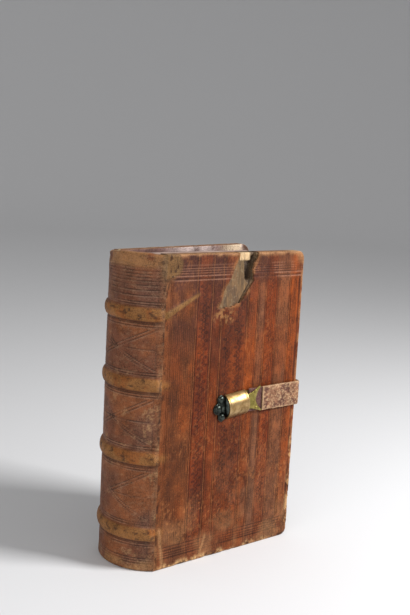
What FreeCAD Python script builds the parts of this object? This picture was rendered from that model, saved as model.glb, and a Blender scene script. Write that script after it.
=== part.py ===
# Small antique book: wooden boards in worn leather, four raised bands, and a
# leather strap that closes with a brass clasp on the front cover.
#
# Sizes are in millimetres. While it is drawn, x runs from the spine's joint to the
# fore-edge, y from the front cover to the back cover and z from tail to head, with
# the zero at the joint, in the middle of the thickness, at the tail. Each finished
# piece is then moved so that the book's zero lies under the middle of its box.
import FreeCAD, Part
import math
import os

import Sketcher

V = FreeCAD.Vector

SIZES = {
    # the boards and what covers them
    "board_height": 168.0,
    "board_width": 98.0,
    "back_setback": 4.5,
    "board_thickness": 5.0,
    "cover_leather": 1.0,
    "corner_radius": 4.5,
    "edge_rounding": 1.1,
    "turn_in_width": 13.0,
    "turn_in_leather": 0.5,
    "pastedown_paper": 0.3,
    # the pages and the rounded spine
    "block_thickness": 34.3,
    "board_gap": 0.3,
    "square": 3.5,
    "fore_edge_hollow": 6.0,
    "spine_rounding": 12.9,
    "lining_cloth": 0.6,
    # the sewing cords, their bands and their ends in the boards
    "cord_radius": 2.6,
    "head_panel": 31.0,
    "second_panel": 36.5,
    "third_panel": 39.0,
    "fourth_panel": 41.0,
    "slip_length": 21.0,
    "slip_width": 5.0,
    "slip_depth": 1.8,
    "slip_lean": 25.0,
    "slip_ridge": 0.8,
    "ridge_start": 3.5,
    "endband_radius": 0.9,
    "cap_depth": 5.0,
    "front_opening": 105.0,
    "relief_slack": 5.0,
    "relief_room": 12.0,
    # the split in the front board
    "split_depth": 3.4,
    # the strap
    "strap_drop": 81.8,
    "strap_width": 14.5,
    "strap_layer": 0.8,
    "strap_gap": 0.8,
    "strap_bend": 1.0,
    "strap_tail": 24.0,
    "strap_tip": 59.6,
    "outer_layer_start": 69.5,
    # the clasp
    "barrel_start": 43.5,
    "barrel_length": 14.5,
    "barrel_width": 14.2,
    "barrel_sheet": 0.8,
    "clasp_rise": 4.8,
    "clasp_gap": 0.3,
    "clasp_lean": 6.0,
    "waist_width": 9.0,
    "waist_length": 1.0,
    "tail_end": 68.5,
    "tail_notch": 4.0,
    "tail_width": 14.5,
    "plate_sheet": 0.6,
    "plate_margin": 1.5,
    "rivet_radius": 0.7,
    "rivet_head": 1.3,
    "rivet_spread": 9.6,
    "rivet_place": 64.6,
    # the catch
    "catch_lobe": 2.5,
    "catch_knob": 3.0,
    "catch_spread": 4.9,
    "catch_step": 2.5,
    "catch_sheet": 0.8,
    "catch_groove": 0.3,
    "catch_dome": 0.55,
    "catch_tongue": 8.0,
    "plug_sheet": 0.8,
    # the strap's plate on the back cover, and all small nails
    "anchor_length": 15.0,
    "anchor_inset": 5.0,
    "anchor_sheet": 0.7,
    "anchor_margin": 0.5,
    "nail_radius": 0.7,
    "nail_head": 1.5,
    "nail_length": 6.0,
    "nail_room": 0.1,
}

# the torn patch at the head of the front cover, from the joint and down from the head
TEAR = [(48.5, -2.0), (48.3, 2.9), (45.8, 7.1), (42.7, 14.3), (38.8, 20.2), (37.2, 25.6), (34.7, 30.0),
        (41.5, 29.5), (50.3, 27.5), (54.8, 22.2), (60.1, 15.3), (58.7, 9.4), (61.6, 3.3), (63.9, -2.0)]
# the split in the wood below it
SPLIT = [(52.6, 4.9), (56.7, -2.0), (62.2, -2.0), (59.4, 7.5), (59.1, 13.7), (50.3, 27.5), (49.4, 26.9),
         (55.6, 17.3), (53.3, 14.1)]

doc = FreeCAD.newDocument("Book")
sizes = doc.addObject("Spreadsheet::Sheet", "sizes")
for row, (name, value) in enumerate(SIZES.items(), start=1):
    sizes.set(f"A{row}", name)
    sizes.set(f"B{row}", str(value))
    sizes.setAlias(f"B{row}", name)
doc.recompute()


def words(text):
    """Writes each size's name in an expression the way the sheet is asked for it."""
    out = ""
    word = ""
    for letter in text + " ":
        if letter.isalnum() or letter == "_":
            word += letter
            continue
        out += (f"sizes.{word}" if word in SIZES else word) + letter
        word = ""
    return out.strip()


def worth(text):
    """The present value of an expression."""
    return float(sizes.evalExpression(words(text)))


# places that several pieces share, as expressions on the sheet
BLOCK = "(block_thickness / 2)"
WOOD_IN = f"({BLOCK} + board_gap + turn_in_leather)"
WOOD_OUT = f"({WOOD_IN} + board_thickness)"
FACE = f"({WOOD_OUT} + cover_leather)"
SPINE_R = f"(({FACE} * {FACE} + spine_rounding * spine_rounding) / (2 * spine_rounding))"
SPINE_X = f"({SPINE_R} - spine_rounding)"
PAGES_R = f"({SPINE_R} - cover_leather - lining_cloth)"
BAND_R = "(cord_radius + cover_leather)"
BAND_1 = "(board_height - head_panel)"
BAND_2 = f"({BAND_1} - second_panel)"
BAND_3 = f"({BAND_2} - third_panel)"
BAND_4 = f"({BAND_3} - fourth_panel)"
BANDS = [BAND_1, BAND_2, BAND_3, BAND_4]
LEVEL = "(board_height - strap_drop)"
LOBE_X = "(barrel_start - clasp_gap - catch_lobe)"
KNOB_X = f"({LOBE_X} - catch_step)"
STRAP_IN = f"({FACE} + strap_gap)"
STRAP_MID = f"({STRAP_IN} + strap_layer)"
STRAP_OUT = f"({STRAP_MID} + strap_layer)"
STRAP_BACK = f"({FACE} + clasp_gap)"
STRAP_EDGE = "(board_width + clasp_gap)"
BACK_WIDTH = "(board_width - back_setback)"
REACH_X = f"({STRAP_EDGE} + 2 * strap_layer)"
NAIL_TOP = f"({STRAP_BACK} + 2 * strap_layer + anchor_sheet)"
NAIL_DOME = "(nail_head / 2)"
REACH_BACK = f"({NAIL_TOP} + {NAIL_DOME})"
REACH_FRONT = f"({FACE} + clasp_rise)"
REACH_SPINE = f"({PAGES_R} + {BAND_R} - {SPINE_X})"
MIDDLE_X = f"(({REACH_X} - {REACH_SPINE}) / 2)"
MIDDLE_Y = f"(({REACH_BACK} - {REACH_FRONT}) / 2)"


def bind(thing, **bound):
    """Ties properties to expressions; a double underscore stands for a dot."""
    for prop, text in bound.items():
        thing.setExpression(prop.replace("__", "."), words(text))
    return thing


def place(thing, x="0", y="0", z="0"):
    return bind(thing, Placement__Base__x=x, Placement__Base__y=y, Placement__Base__z=z)


def turn(thing, axis, angle):
    """Turns a piece about an axis through its own corner."""
    thing.Placement = FreeCAD.Placement(V(0, 0, 0), FreeCAD.Rotation(axis, 30))
    return bind(thing, Placement__Rotation__Angle=angle)


def box(x, y, z, length, width, height):
    return place(bind(doc.addObject("Part::Box", "Block"), Length=length, Width=width, Height=height), x, y, z)


def upright(radius, bottom, height):
    """A cylinder about the axis of the spine's round."""
    return place(bind(doc.addObject("Part::Cylinder", "Round"), Radius=radius, Height=height), SPINE_X, "0", bottom)


def ring(radius, section, level):
    """A ring about the axis of the spine's round."""
    return place(bind(doc.addObject("Part::Torus", "Ring"), Radius1=radius, Radius2=section), SPINE_X, "0", level)


def across(x, y, z, radius, length, way):
    """A pin that runs along y, forwards (-1) or backwards (1)."""
    pin = bind(doc.addObject("Part::Cylinder", "Pin"), Radius=radius, Height=length)
    pin.Placement = FreeCAD.Placement(V(0, 0, 0), FreeCAD.Rotation(V(1, 0, 0), -90 * way))
    return place(pin, x, y, z)


def join(*pieces):
    whole = doc.addObject("Part::MultiFuse", "Joined")
    whole.Shapes = list(pieces)
    return whole


def cut(base, tool):
    left = doc.addObject("Part::Cut", "Cut")
    left.Base = base
    left.Tool = tool
    return left


def common(base, tool):
    kept = doc.addObject("Part::Common", "Kept")
    kept.Base = base
    kept.Tool = tool
    return kept


def dome(x, y, z, radius, rise, way):
    """A low round head that stands out along y: the cap of a larger ball."""
    ball = f"(({radius}) ^ 2 + ({rise}) ^ 2) / (2 * ({rise}))"
    whole = bind(doc.addObject("Part::Sphere", "Ball"), Radius=ball)
    place(whole, x, f"{y} - {way} * ({ball} - ({rise}))", z)
    low = f"{y} - ({rise}) - 1" if way < 0 else y
    return common(whole, box(f"{x} - 2 * ({radius})", low, f"{z} - 2 * ({radius})", f"4 * ({radius})",
                             f"({rise}) + 1", f"4 * ({radius})"))


def arc_between(start, end, radius, turns):
    """The shorter arc from start to end: turns is 1 to the left, -1 to the right."""
    chord = end - start
    half = chord.Length / 2
    off = math.sqrt(max(radius * radius - half * half, 0.0))
    side = V(-chord.y, chord.x, 0).normalize() * turns
    centre = (start + end) * 0.5 + side * off
    first, last = (start, end) if turns > 0 else (end, start)
    angles = [math.atan2(q.y - centre.y, q.x - centre.x) for q in (first, last)]
    circle = Part.Circle(centre, V(0, 0, 1), radius)
    return Part.ArcOfCircle(circle, angles[0], angles[1] if angles[1] > angles[0] else angles[1] + 2 * math.pi)


def outline(body, plane, corners, level="0"):
    """A closed sketch on one of the body's planes, every corner tied to the sizes.

    A corner is (x, y), or (x, y, radius, turns) where an arc leads on to the next one.
    """
    sketch = body.newObject("Sketcher::SketchObject", "Outline")
    flat = [f for f in body.Origin.OriginFeatures if f.Role == plane][0]
    sketch.AttachmentSupport = [(flat, "")]
    sketch.MapMode = "FlatFace"
    sketch.setExpression("AttachmentOffset.Base.z", words(level))
    points = [V(worth(c[0]), worth(c[1]), 0) for c in corners]
    ends = []
    for i, corner in enumerate(corners):
        start, end = points[i], points[(i + 1) % len(points)]
        if len(corner) == 2:
            sketch.addGeometry(Part.LineSegment(start, end), False)
            ends.append((1, 2))
        else:
            sketch.addGeometry(arc_between(start, end, worth(corner[2]), corner[3]), False)
            ends.append((1, 2) if corner[3] > 0 else (2, 1))
            number = sketch.addConstraint(Sketcher.Constraint("Radius", i, worth(corner[2])))
            sketch.setExpression(f"Constraints[{number}]", words(corner[2]))
    for i, corner in enumerate(corners):
        before = (i - 1) % len(corners)
        sketch.addConstraint(Sketcher.Constraint("Coincident", before, ends[before][1], i, ends[i][0]))
        for kind, text, value in (("DistanceX", corner[0], points[i].x), ("DistanceY", corner[1], points[i].y)):
            number = sketch.addConstraint(Sketcher.Constraint(kind, -1, 1, i, ends[i][0], value))
            sketch.setExpression(f"Constraints[{number}]", words(text))
    return sketch


def pad(name, plane, corners, level, length, back=False):
    """A body made by raising one outline."""
    body = doc.addObject("PartDesign::Body", name)
    sketch = outline(body, plane, corners, level)
    raised = body.newObject("PartDesign::Pad", "Raised")
    raised.Profile = sketch
    raised.Reversed = back
    raised.setExpression("Length", words(length))
    body.Tip = raised
    return body


nodes = {}


def piece(name, thing):
    """Names a sub-part; its place in the whole book is set at the end."""
    nodes[name] = thing
    return thing


def finished(name, thing):
    """The sub-part, moved so that the zero is under the middle of the book."""
    moved = doc.addObject("Part::Compound", "Placed")
    moved.Label = name
    moved.Links = [thing]
    place(moved, f"-{MIDDLE_X}", f"-{MIDDLE_Y}", "0")
    return moved


def behind_joint(gap="0"):
    """All the room on the spine's side of the joint."""
    return box(f"-2 * {SPINE_R} - {gap}", f"-2 * {SPINE_R}", "-1", f"2 * {SPINE_R}", f"4 * {SPINE_R}", "board_height + 2")


# Pages

def text_block():
    """The pages: rounded and backed at the spine, hollow at the fore-edge."""
    shoulder = f"sqrt({PAGES_R} ^ 2 - ({SPINE_X} + board_gap) ^ 2)"
    fore = "(board_width - square)"
    hollow_r = f"(({BLOCK} ^ 2 + fore_edge_hollow ^ 2) / (2 * fore_edge_hollow))"
    corners = [
        ("-board_gap", shoulder, PAGES_R, 1),
        ("-board_gap", f"-{shoulder}"),
        ("-board_gap", f"-{BLOCK}"),
        (fore, f"-{BLOCK}", hollow_r, -1),
        (f"{fore} - back_setback", BLOCK),
        ("-board_gap", BLOCK),
    ]
    return pad("Pages", "XY_Plane", corners, "square", "board_height - 2 * square")


# Boards

def board_outline(margin, side):
    """A board seen from the front: square at the joint, rounded at the fore-edge; the back one is narrower."""
    radius = f"(corner_radius - {margin})"
    right = f"({'board_width' if side < 0 else BACK_WIDTH} - {margin})"
    top = f"(board_height - {margin})"
    return [
        ("0", margin),
        (f"{right} - {radius}", margin, radius, 1),
        (right, f"{margin} + {radius}"),
        (right, f"{top} - {radius}", radius, 1),
        (f"{right} - {radius}", top),
        ("0", top),
    ]


def board_blank(side):
    """The wood of a board before it is cut; side is -1 in front and 1 behind."""
    return pad("Wood", "XZ_Plane", board_outline("cover_leather", side), f"{-side} * {WOOD_OUT}", "board_thickness",
               side < 0)


def slip(side, band, lean):
    """The end of a sewing cord, let into the outer face of a board."""
    y = f"-{WOOD_OUT}" if side < 0 else f"{WOOD_OUT} - slip_depth"
    cord = box(f"slip_width * sin({lean})", y, f"{band} - slip_width / 2", "slip_length", "slip_depth", "slip_width")
    return turn(cord, V(0, -1, 0), lean) if lean != "0" else cord


def prism(points, y, depth):
    """A cutter with a ragged outline, from y backwards by a depth."""
    solid = doc.addObject("Part::Feature", "Ragged")
    top = worth("board_height")
    corners = [V(x, worth(y), top - down) for x, down in points]
    wire = Part.makePolygon(corners + corners[:1])
    solid.Shape = Part.Face(wire).extrude(V(0, worth(depth), 0))
    return solid


def cover_leather(side, wood):
    """Leather over a board: its outer face, the board's edges and the turned-in margin."""
    body = pad("Leather", "XZ_Plane", board_outline("0", side), f"{-side} * {FACE}",
               "cover_leather + board_thickness + turn_in_leather", side < 0)
    doc.recompute()
    level = side * worth(FACE)
    rim = []
    same = 0.01
    for number, edge in enumerate(body.Tip.Shape.Edges, start=1):
        reach = edge.BoundBox
        outer = abs(reach.YMin - level) < same and abs(reach.YMax - level) < same
        if outer and reach.XMax > same:
            rim.append(f"Edge{number}")
    raised = body.Tip
    rounded = body.newObject("PartDesign::Fillet", "SoftEdge")
    rounded.Base = (raised, rim)
    rounded.setExpression("Radius", words("edge_rounding"))
    body.Tip = rounded
    width = "board_width" if side < 0 else BACK_WIDTH
    window = box("-1", f"-{WOOD_IN}" if side < 0 else f"{WOOD_IN} - turn_in_leather", "turn_in_width",
                 f"{width} - turn_in_width + 1", "turn_in_leather", "board_height - 2 * turn_in_width")
    return cut(body, join(wood, window))


def pastedown(side):
    """The paper that fills the frame of turned-in leather."""
    y = f"-{WOOD_IN}" if side < 0 else f"{WOOD_IN} - pastedown_paper"
    width = "board_width" if side < 0 else BACK_WIDTH
    return box("0", y, "turn_in_width", f"{width} - turn_in_width", "pastedown_paper",
               "board_height - 2 * turn_in_width")


# Spine

def joint_relief(side):
    """Room beside the bands for an opened cover to lie back in."""
    corner = box("0", f"{side} * {FACE}", "-1", "relief_room", "relief_room", "board_height + 2")
    angle = "-(front_opening + relief_slack)" if side < 0 else "front_opening + relief_slack - 90"
    return turn(corner, V(0, 0, 1), angle)


def under_spine_leather():
    """What the spine's leather lies on: the linings and the four cords."""
    cords = [ring(PAGES_R, "cord_radius", band) for band in BANDS]
    return join(upright(f"{PAGES_R} + lining_cloth", "-1", "board_height + 2"), *cords)


def spine_leather():
    """One sheet over the spine, raised over each cord, with a cap at head and tail."""
    bands = [ring(PAGES_R, BAND_R, band) for band in BANDS]
    outer = join(upright(SPINE_R, "0", "board_height"), *bands)
    sheet = cut(outer, under_spine_leather())
    cap = "(square - 2 * endband_radius)"
    caps = []
    for bottom in ("0", f"board_height - {cap}"):
        inside = upright(f"{SPINE_R} - cap_depth", bottom, cap)
        caps.append(cut(upright(SPINE_R, bottom, cap), inside))
    whole = common(join(sheet, *caps), behind_joint())
    return cut(whole, join(joint_relief(-1), joint_relief(1)))


def sewing_cord(band):
    """A cord across the backs of the sewn pages."""
    inside = upright(PAGES_R, "-1", "board_height + 2")
    cord = cut(ring(PAGES_R, "cord_radius", band), join(inside, joint_relief(-1), joint_relief(1)))
    return common(cord, behind_joint("board_gap"))


def spine_lining(low, high):
    """The lining glued to the spine between two cords."""
    height = f"{high} - ({low})"
    sheet = cut(upright(f"{PAGES_R} + lining_cloth", low, height), upright(PAGES_R, low, height))
    return common(sheet, behind_joint("board_gap"))


def endband(level):
    """The sewn band at one end of the pages, under the spine's cap."""
    return common(ring(f"{SPINE_R} - cap_depth + endband_radius", "endband_radius", level), behind_joint("board_gap"))


# Nails and rivets

def nail_places():
    """The three nails of the anchor plate: along the strap and across it."""
    near = f"{BACK_WIDTH} - anchor_inset - nail_head - {NAIL_DOME}"
    far = f"{BACK_WIDTH} - anchor_inset - anchor_length + 2 * nail_head"
    return [(near, LEVEL), (far, f"{LEVEL} - strap_width / 3"), (far, f"{LEVEL} + strap_width / 3")]


def nail(x, z):
    """A nail through the anchor plate and the strap into the back board."""
    shank = across(x, f"{NAIL_TOP} - nail_length", z, "nail_radius", "nail_length", 1)
    return join(shank, dome(x, NAIL_TOP, z, "nail_head", NAIL_DOME, 1))


def nail_holes():
    return join(*[across(x, f"{NAIL_TOP} - nail_length - nail_room", z, "nail_radius + nail_room",
                         "nail_length + 2 * nail_room", 1) for x, z in nail_places()])


CATCH_PLACES = [
    (KNOB_X, LEVEL, "catch_knob"),
    (LOBE_X, f"{LEVEL} + catch_spread", "catch_lobe"),
    (LOBE_X, f"{LEVEL} - catch_spread", "catch_lobe"),
]


def catch_nail(x, z, room="0"):
    """The pin under a lobe of the catch, driven into the front board."""
    length = f"cover_leather + board_thickness / 2 + catch_sheet + {room}"
    return across(x, f"-{FACE} - catch_sheet", z, f"nail_radius + {room}", length, 1)


def rivet_holes():
    places = [f"{LEVEL} + {way} * rivet_spread / 2" for way in (-1, 1)]
    return [across("rivet_place", f"-{FACE} - clasp_rise", z, "rivet_radius + nail_room", "clasp_rise", 1) for z in places]


# Clasp

def leaned(thing):
    """The clasp sits a little askew: it is turned in the cover's plane about its rivets."""
    whole = doc.addObject("Part::Compound", "Leaned")
    whole.Links = [thing]
    turn(whole, V(0, -1, 0), "clasp_lean")
    x = f"rivet_place * (1 - cos(clasp_lean)) + {LEVEL} * sin(clasp_lean)"
    z = f"{LEVEL} * (1 - cos(clasp_lean)) - rivet_place * sin(clasp_lean)"
    return place(whole, x, "0", z)


def hasp():
    """The clasp's moving half: a half-round barrel, a waist and a fishtail plate."""
    low = f"({FACE} + clasp_gap)"
    rise = "(clasp_rise - clasp_gap)"
    half = "(barrel_width / 2)"
    radius = f"(({half} ^ 2 + {rise} ^ 2) / (2 * {rise}))"

    def arch(thin, start, length):
        """A half-round block along x, smaller by a thickness all round its arc."""
        r = f"({radius} - {thin})"
        drop = f"({radius} - {rise})"
        reach = f"sqrt({r} ^ 2 - {drop} ^ 2)"
        corners = [
            (f"-{low}", f"{LEVEL} + {reach}", r, 1),
            (f"-{low}", f"{LEVEL} - {reach}"),
        ]
        return pad("Arch", "YZ_Plane", corners, start, length)

    shell = cut(arch("0", "barrel_start", "barrel_length"),
                arch("barrel_sheet", "barrel_start - 1", "barrel_length + 1 - barrel_sheet"))
    end = "(barrel_start + barrel_length)"
    tail = pad("Fishtail", "XZ_Plane", [
        (f"{end} - barrel_sheet", f"{LEVEL} - waist_width / 2"),
        (f"{end} + waist_length", f"{LEVEL} - waist_width / 2"),
        ("tail_end", f"{LEVEL} - tail_width / 2"),
        ("tail_end - tail_notch", LEVEL),
        ("tail_end", f"{LEVEL} + tail_width / 2"),
        (f"{end} + waist_length", f"{LEVEL} + waist_width / 2"),
        (f"{end} - barrel_sheet", f"{LEVEL} + waist_width / 2"),
    ], STRAP_MID, "plate_sheet")
    return cut(join(shell, tail), join(*rivet_holes()))


def hasp_back_plate():
    """The thin plate under the strap that the rivets are closed on."""
    start = "(barrel_start + barrel_length)"
    plate = box(start, f"-{STRAP_IN}", f"{LEVEL} - waist_width / 2 - plate_margin",
                f"tail_end - tail_notch / 2 - {start}", "strap_gap - clasp_gap", "waist_width + 2 * plate_margin")
    return cut(plate, join(*rivet_holes()))


def hasp_rivet(way):
    """A rivet through the fishtail, the strap and the back plate."""
    z = f"{LEVEL} + {way} * rivet_spread / 2"
    top = f"{STRAP_MID} + plate_sheet"
    shank = across("rivet_place", f"-({top})", z, "rivet_radius", f"{top} - {FACE} - clasp_gap", 1)
    return join(shank, dome("rivet_place", f"-({top})", z, "rivet_head", "rivet_head / 2", -1))


def catch_plate():
    """The catch: three domed lobes, a tongue under the barrel and the plug in its mouth."""
    parts = []
    for x, z, radius in CATCH_PLACES:
        parts.append(across(x, f"-{FACE} - catch_sheet", z, radius, "catch_sheet", 1))
        parts.append(dome(x, f"-{FACE} - catch_sheet", z, f"{radius} - catch_groove",
                          f"{radius} * catch_dome", -1))
    parts.append(box(KNOB_X, f"-{FACE} - catch_sheet", f"{LEVEL} - catch_tongue / 2",
                     f"barrel_start - {KNOB_X} + barrel_length / 2", "catch_sheet", "catch_tongue"))
    thin = "(barrel_sheet + clasp_gap)"
    rise = "(clasp_rise - clasp_gap)"
    half = "(barrel_width / 2)"
    radius = f"(({half} ^ 2 + {rise} ^ 2) / (2 * {rise}))"
    foot = "catch_sheet / 2"
    reach = f"sqrt(({radius} - {thin}) ^ 2 - ({radius} - {rise} + {foot}) ^ 2)"
    plug = pad("Plug", "YZ_Plane", [
        (f"-({FACE} + clasp_gap + {foot})", f"{LEVEL} + {reach}", f"({radius} - {thin})", 1),
        (f"-({FACE} + clasp_gap + {foot})", f"{LEVEL} - {reach}"),
    ], "barrel_start + clasp_gap", "plug_sheet")
    parts.append(plug)
    pins = join(*[catch_nail(x, z) for x, z, radius in CATCH_PLACES])
    whole = parts[0]
    for part in parts[1:]:
        whole = join(whole, part)
    return cut(whole, pins)


def clasp_strap():
    """The strap: nailed behind, round the fore-edge, and doubled on the front cover."""
    front_in, front_out = f"-{STRAP_IN}", f"-{STRAP_OUT}"
    back_in, back_out = STRAP_BACK, f"({STRAP_BACK} + 2 * strap_layer)"
    edge_in, edge_out = STRAP_EDGE, f"({STRAP_EDGE} + 2 * strap_layer)"
    far_in, far_out = f"({edge_in} - back_setback)", f"({edge_out} - back_setback)"
    outer = "(strap_bend + 2 * strap_layer)"
    corners = [
        ("strap_tip", front_in),
        ("strap_tip", f"-{STRAP_MID}"),
        ("outer_layer_start", f"-{STRAP_MID}"),
        ("outer_layer_start", front_out),
        (f"{STRAP_EDGE} - strap_bend", front_out, outer, 1),
        (edge_out, f"{front_out} + {outer}"),
        (edge_out, f"-{WOOD_IN}"),
        (far_out, WOOD_IN),
        (far_out, f"{back_out} - {outer}", outer, 1),
        (f"{far_in} - strap_bend", back_out),
        (f"{BACK_WIDTH} - strap_tail", back_out),
        (f"{BACK_WIDTH} - strap_tail", back_in),
        (f"{far_in} - strap_bend", back_in, "strap_bend", -1),
        (far_in, f"{back_in} - strap_bend"),
        (far_in, WOOD_IN),
        (edge_in, f"-{WOOD_IN}"),
        (edge_in, f"{front_in} + strap_bend", "strap_bend", -1),
        (f"{STRAP_EDGE} - strap_bend", front_in),
    ]
    strap = pad("Strap", "XY_Plane", corners, f"{LEVEL} - strap_width / 2", "strap_width")
    return cut(strap, join(nail_holes(), *[leaned(hole) for hole in rivet_holes()]))


def anchor_plate():
    """The plate that holds the strap's tail on the back cover."""
    plate = box(f"{BACK_WIDTH} - anchor_inset - anchor_length", f"{NAIL_TOP} - anchor_sheet",
                f"{LEVEL} - strap_width / 2 + anchor_margin", "anchor_length", "anchor_sheet",
                "strap_width - 2 * anchor_margin")
    return cut(plate, nail_holes())


piece("text_block", text_block())

for side, name in ((-1, "front"), (1, "back")):
    wood = board_blank(side)
    slips = []
    for number, band in enumerate(BANDS, start=1):
        lean = "slip_lean" if side < 0 and number == 1 else "0"
        slips.append(piece(f"{name}_cord_slip_{number}", slip(side, band, lean)))
    leather = cover_leather(side, wood)
    if side < 0:
        ridge = box("slip_width * sin(slip_lean)", f"-{FACE} - slip_ridge", f"{BAND_1} - slip_width / 2",
                    "slip_length", "slip_ridge + cover_leather / 2", "slip_width")
        turn(ridge, V(0, -1, 0), "slip_lean")
        ridge = cut(ridge, box("-slip_length", f"-{FACE} - 2 * slip_ridge", "0", "slip_length + ridge_start",
                               "3 * slip_ridge", "board_height"))
        pins = leaned(join(*[catch_nail(x, z, "nail_room") for x, z, radius in CATCH_PLACES]))
        split = prism(SPLIT, f"-{WOOD_OUT} - cover_leather", "cover_leather + split_depth")
        tear = prism(TEAR, f"-{FACE} - 1", "cover_leather + 1")
        piece("front_board", cut(wood, join(*slips, split, pins)))
        piece("front_cover_leather", cut(join(leather, ridge), join(tear, pins)))
    else:
        holes = nail_holes()
        piece("back_board", cut(wood, join(*slips, holes)))
        piece("back_cover_leather", cut(leather, holes))
    piece(f"{name}_pastedown", pastedown(side))

piece("spine_leather", spine_leather())
for number, band in enumerate(BANDS, start=1):
    piece(f"sewing_cord_{number}", sewing_cord(band))
tops = ["board_height - square"] + [f"{band} - cord_radius" for band in BANDS]
feet = [f"{band} + cord_radius" for band in BANDS] + ["square"]
for number, (high, low) in enumerate(zip(tops, feet), start=1):
    piece(f"spine_lining_{number}", spine_lining(low, high))
piece("head_endband", endband("board_height - square + endband_radius"))
piece("tail_endband", endband("square - endband_radius"))

piece("clasp_strap", clasp_strap())
piece("strap_anchor_plate", anchor_plate())
for number, (x, z) in enumerate(nail_places(), start=1):
    piece(f"anchor_nail_{number}", nail(x, z))
piece("catch_plate", leaned(catch_plate()))
for number, (x, z, radius) in enumerate(CATCH_PLACES, start=1):
    piece(f"catch_nail_{number}", leaned(catch_nail(x, z)))
piece("hasp", leaned(hasp()))
piece("hasp_back_plate", leaned(hasp_back_plate()))
piece("hasp_rivet_1", leaned(hasp_rivet(-1)))
piece("hasp_rivet_2", leaned(hasp_rivet(1)))

placed = {name: finished(name, thing) for name, thing in nodes.items()}
doc.recompute()

for thing in doc.Objects:
    if "Invalid" in thing.State or "Error" in thing.State:
        raise RuntimeError(f"{thing.Name} {thing.Label} failed: {thing.State}")
for name, thing in placed.items():
    shape = thing.Shape
    if shape.isNull() or not shape.isValid() or not shape.Solids:
        raise RuntimeError(f"{name} has no valid shape")

os.makedirs("parts", exist_ok=True)
for name, thing in placed.items():
    thing.Shape.exportStep(f"parts/{name}.step")
    print(name, len(thing.Shape.Solids), "solid", round(thing.Shape.Volume, 1), "mm3")
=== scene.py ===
# %% [markdown]
# # A small old book in Blender
# A calf-bound book with wooden boards, four raised bands, a tear that bares the
# wood, and a leather strap with a brass clasp. The frame holds every solid piece at
# its real size. This lesson dresses those pieces: each one is made or finished in a
# cell of its own, in metres, in the same place as the solid that it stands for.

# %% Load the frame
import math
from contextlib import contextmanager

import bmesh
import bpy
import numpy as np
from mathutils import Matrix, Vector


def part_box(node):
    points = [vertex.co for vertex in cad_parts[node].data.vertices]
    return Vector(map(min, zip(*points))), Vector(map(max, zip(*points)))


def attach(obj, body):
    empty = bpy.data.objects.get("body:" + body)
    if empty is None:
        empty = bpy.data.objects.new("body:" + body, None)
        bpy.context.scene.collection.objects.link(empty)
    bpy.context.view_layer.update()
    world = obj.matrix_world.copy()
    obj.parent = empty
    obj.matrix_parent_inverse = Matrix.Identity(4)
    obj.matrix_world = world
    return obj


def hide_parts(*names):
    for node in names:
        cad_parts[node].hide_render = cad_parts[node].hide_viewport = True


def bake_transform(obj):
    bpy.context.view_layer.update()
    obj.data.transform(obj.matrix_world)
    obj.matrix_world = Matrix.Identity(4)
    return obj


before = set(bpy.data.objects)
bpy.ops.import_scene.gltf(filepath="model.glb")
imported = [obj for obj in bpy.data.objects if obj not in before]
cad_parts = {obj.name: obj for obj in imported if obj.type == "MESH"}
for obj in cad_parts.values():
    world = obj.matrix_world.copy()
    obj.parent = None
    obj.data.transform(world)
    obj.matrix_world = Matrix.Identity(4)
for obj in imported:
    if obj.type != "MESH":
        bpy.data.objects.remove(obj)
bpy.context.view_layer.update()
print("solids:", len(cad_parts))

# %% [markdown]
# ## The book's own measures
# A binder measures from the joint, where the cover meets the spine. The pieces here
# are drawn that way too, in millimetres: x from the joint to the fore-edge, y from
# the middle of the pages (less than zero in front), z up from the tail. One function
# turns such a place into the frame's metres, so all pieces share one origin.

# %% Measures read from the frame
MM = 0.001


def extent(node, axis):
    """A solid's two ends along an axis of the frame, in millimetres."""
    low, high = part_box(node)
    return low[axis] / MM, high[axis] / MM


joint_x = extent("front_cover_leather", 0)[0]
middle_y = sum(extent("text_block", 1)) / 2


def book_box(node):
    """A solid's ends in book millimetres, as pairs for x, y and z."""
    (x0, x1), (y0, y1), z_ends = (extent(node, axis) for axis in range(3))
    return (x0 - joint_x, x1 - joint_x), (y0 - middle_y, y1 - middle_y), z_ends


(_, width), _, (_, height) = book_box("front_cover_leather")
(_, back_width), (inner_face, face), _ = book_box("back_cover_leather")
_, (wood_inner, wood_face), _ = book_box("back_board")
setback = width - back_width
page_gap = 0.3
block_half = inner_face - page_gap
band_levels = [sum(extent(f"sewing_cord_{n}", 2)) / 2 for n in (1, 2, 3, 4)]
print("cover", round(width, 1), "x", round(height, 1), "mm, half thickness", round(face, 2))


def placed(points):
    """Book millimetres, as an array of x, y, z, in the frame's metres."""
    return (np.asarray(points, float) + np.array([joint_x, middle_y, 0.0])) * MM


# %% [markdown]
# ## Uneven surfaces
# Old leather is never flat. A small value noise, made of random numbers on a grid
# that are smoothed in between, gives every hollow, stain and rubbed patch. It has a
# fixed seed, so the book comes out the same each time.

# %% Noise and soft steps
lattice = np.random.default_rng(7).random((256, 256))


def smooth(t):
    t = np.clip(t, 0, 1)
    return t * t * (3 - 2 * t)


def step(value, low, high):
    """0 below low, 1 above high, smooth between; low may be the larger one."""
    return smooth((value - low) / (high - low))


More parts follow.
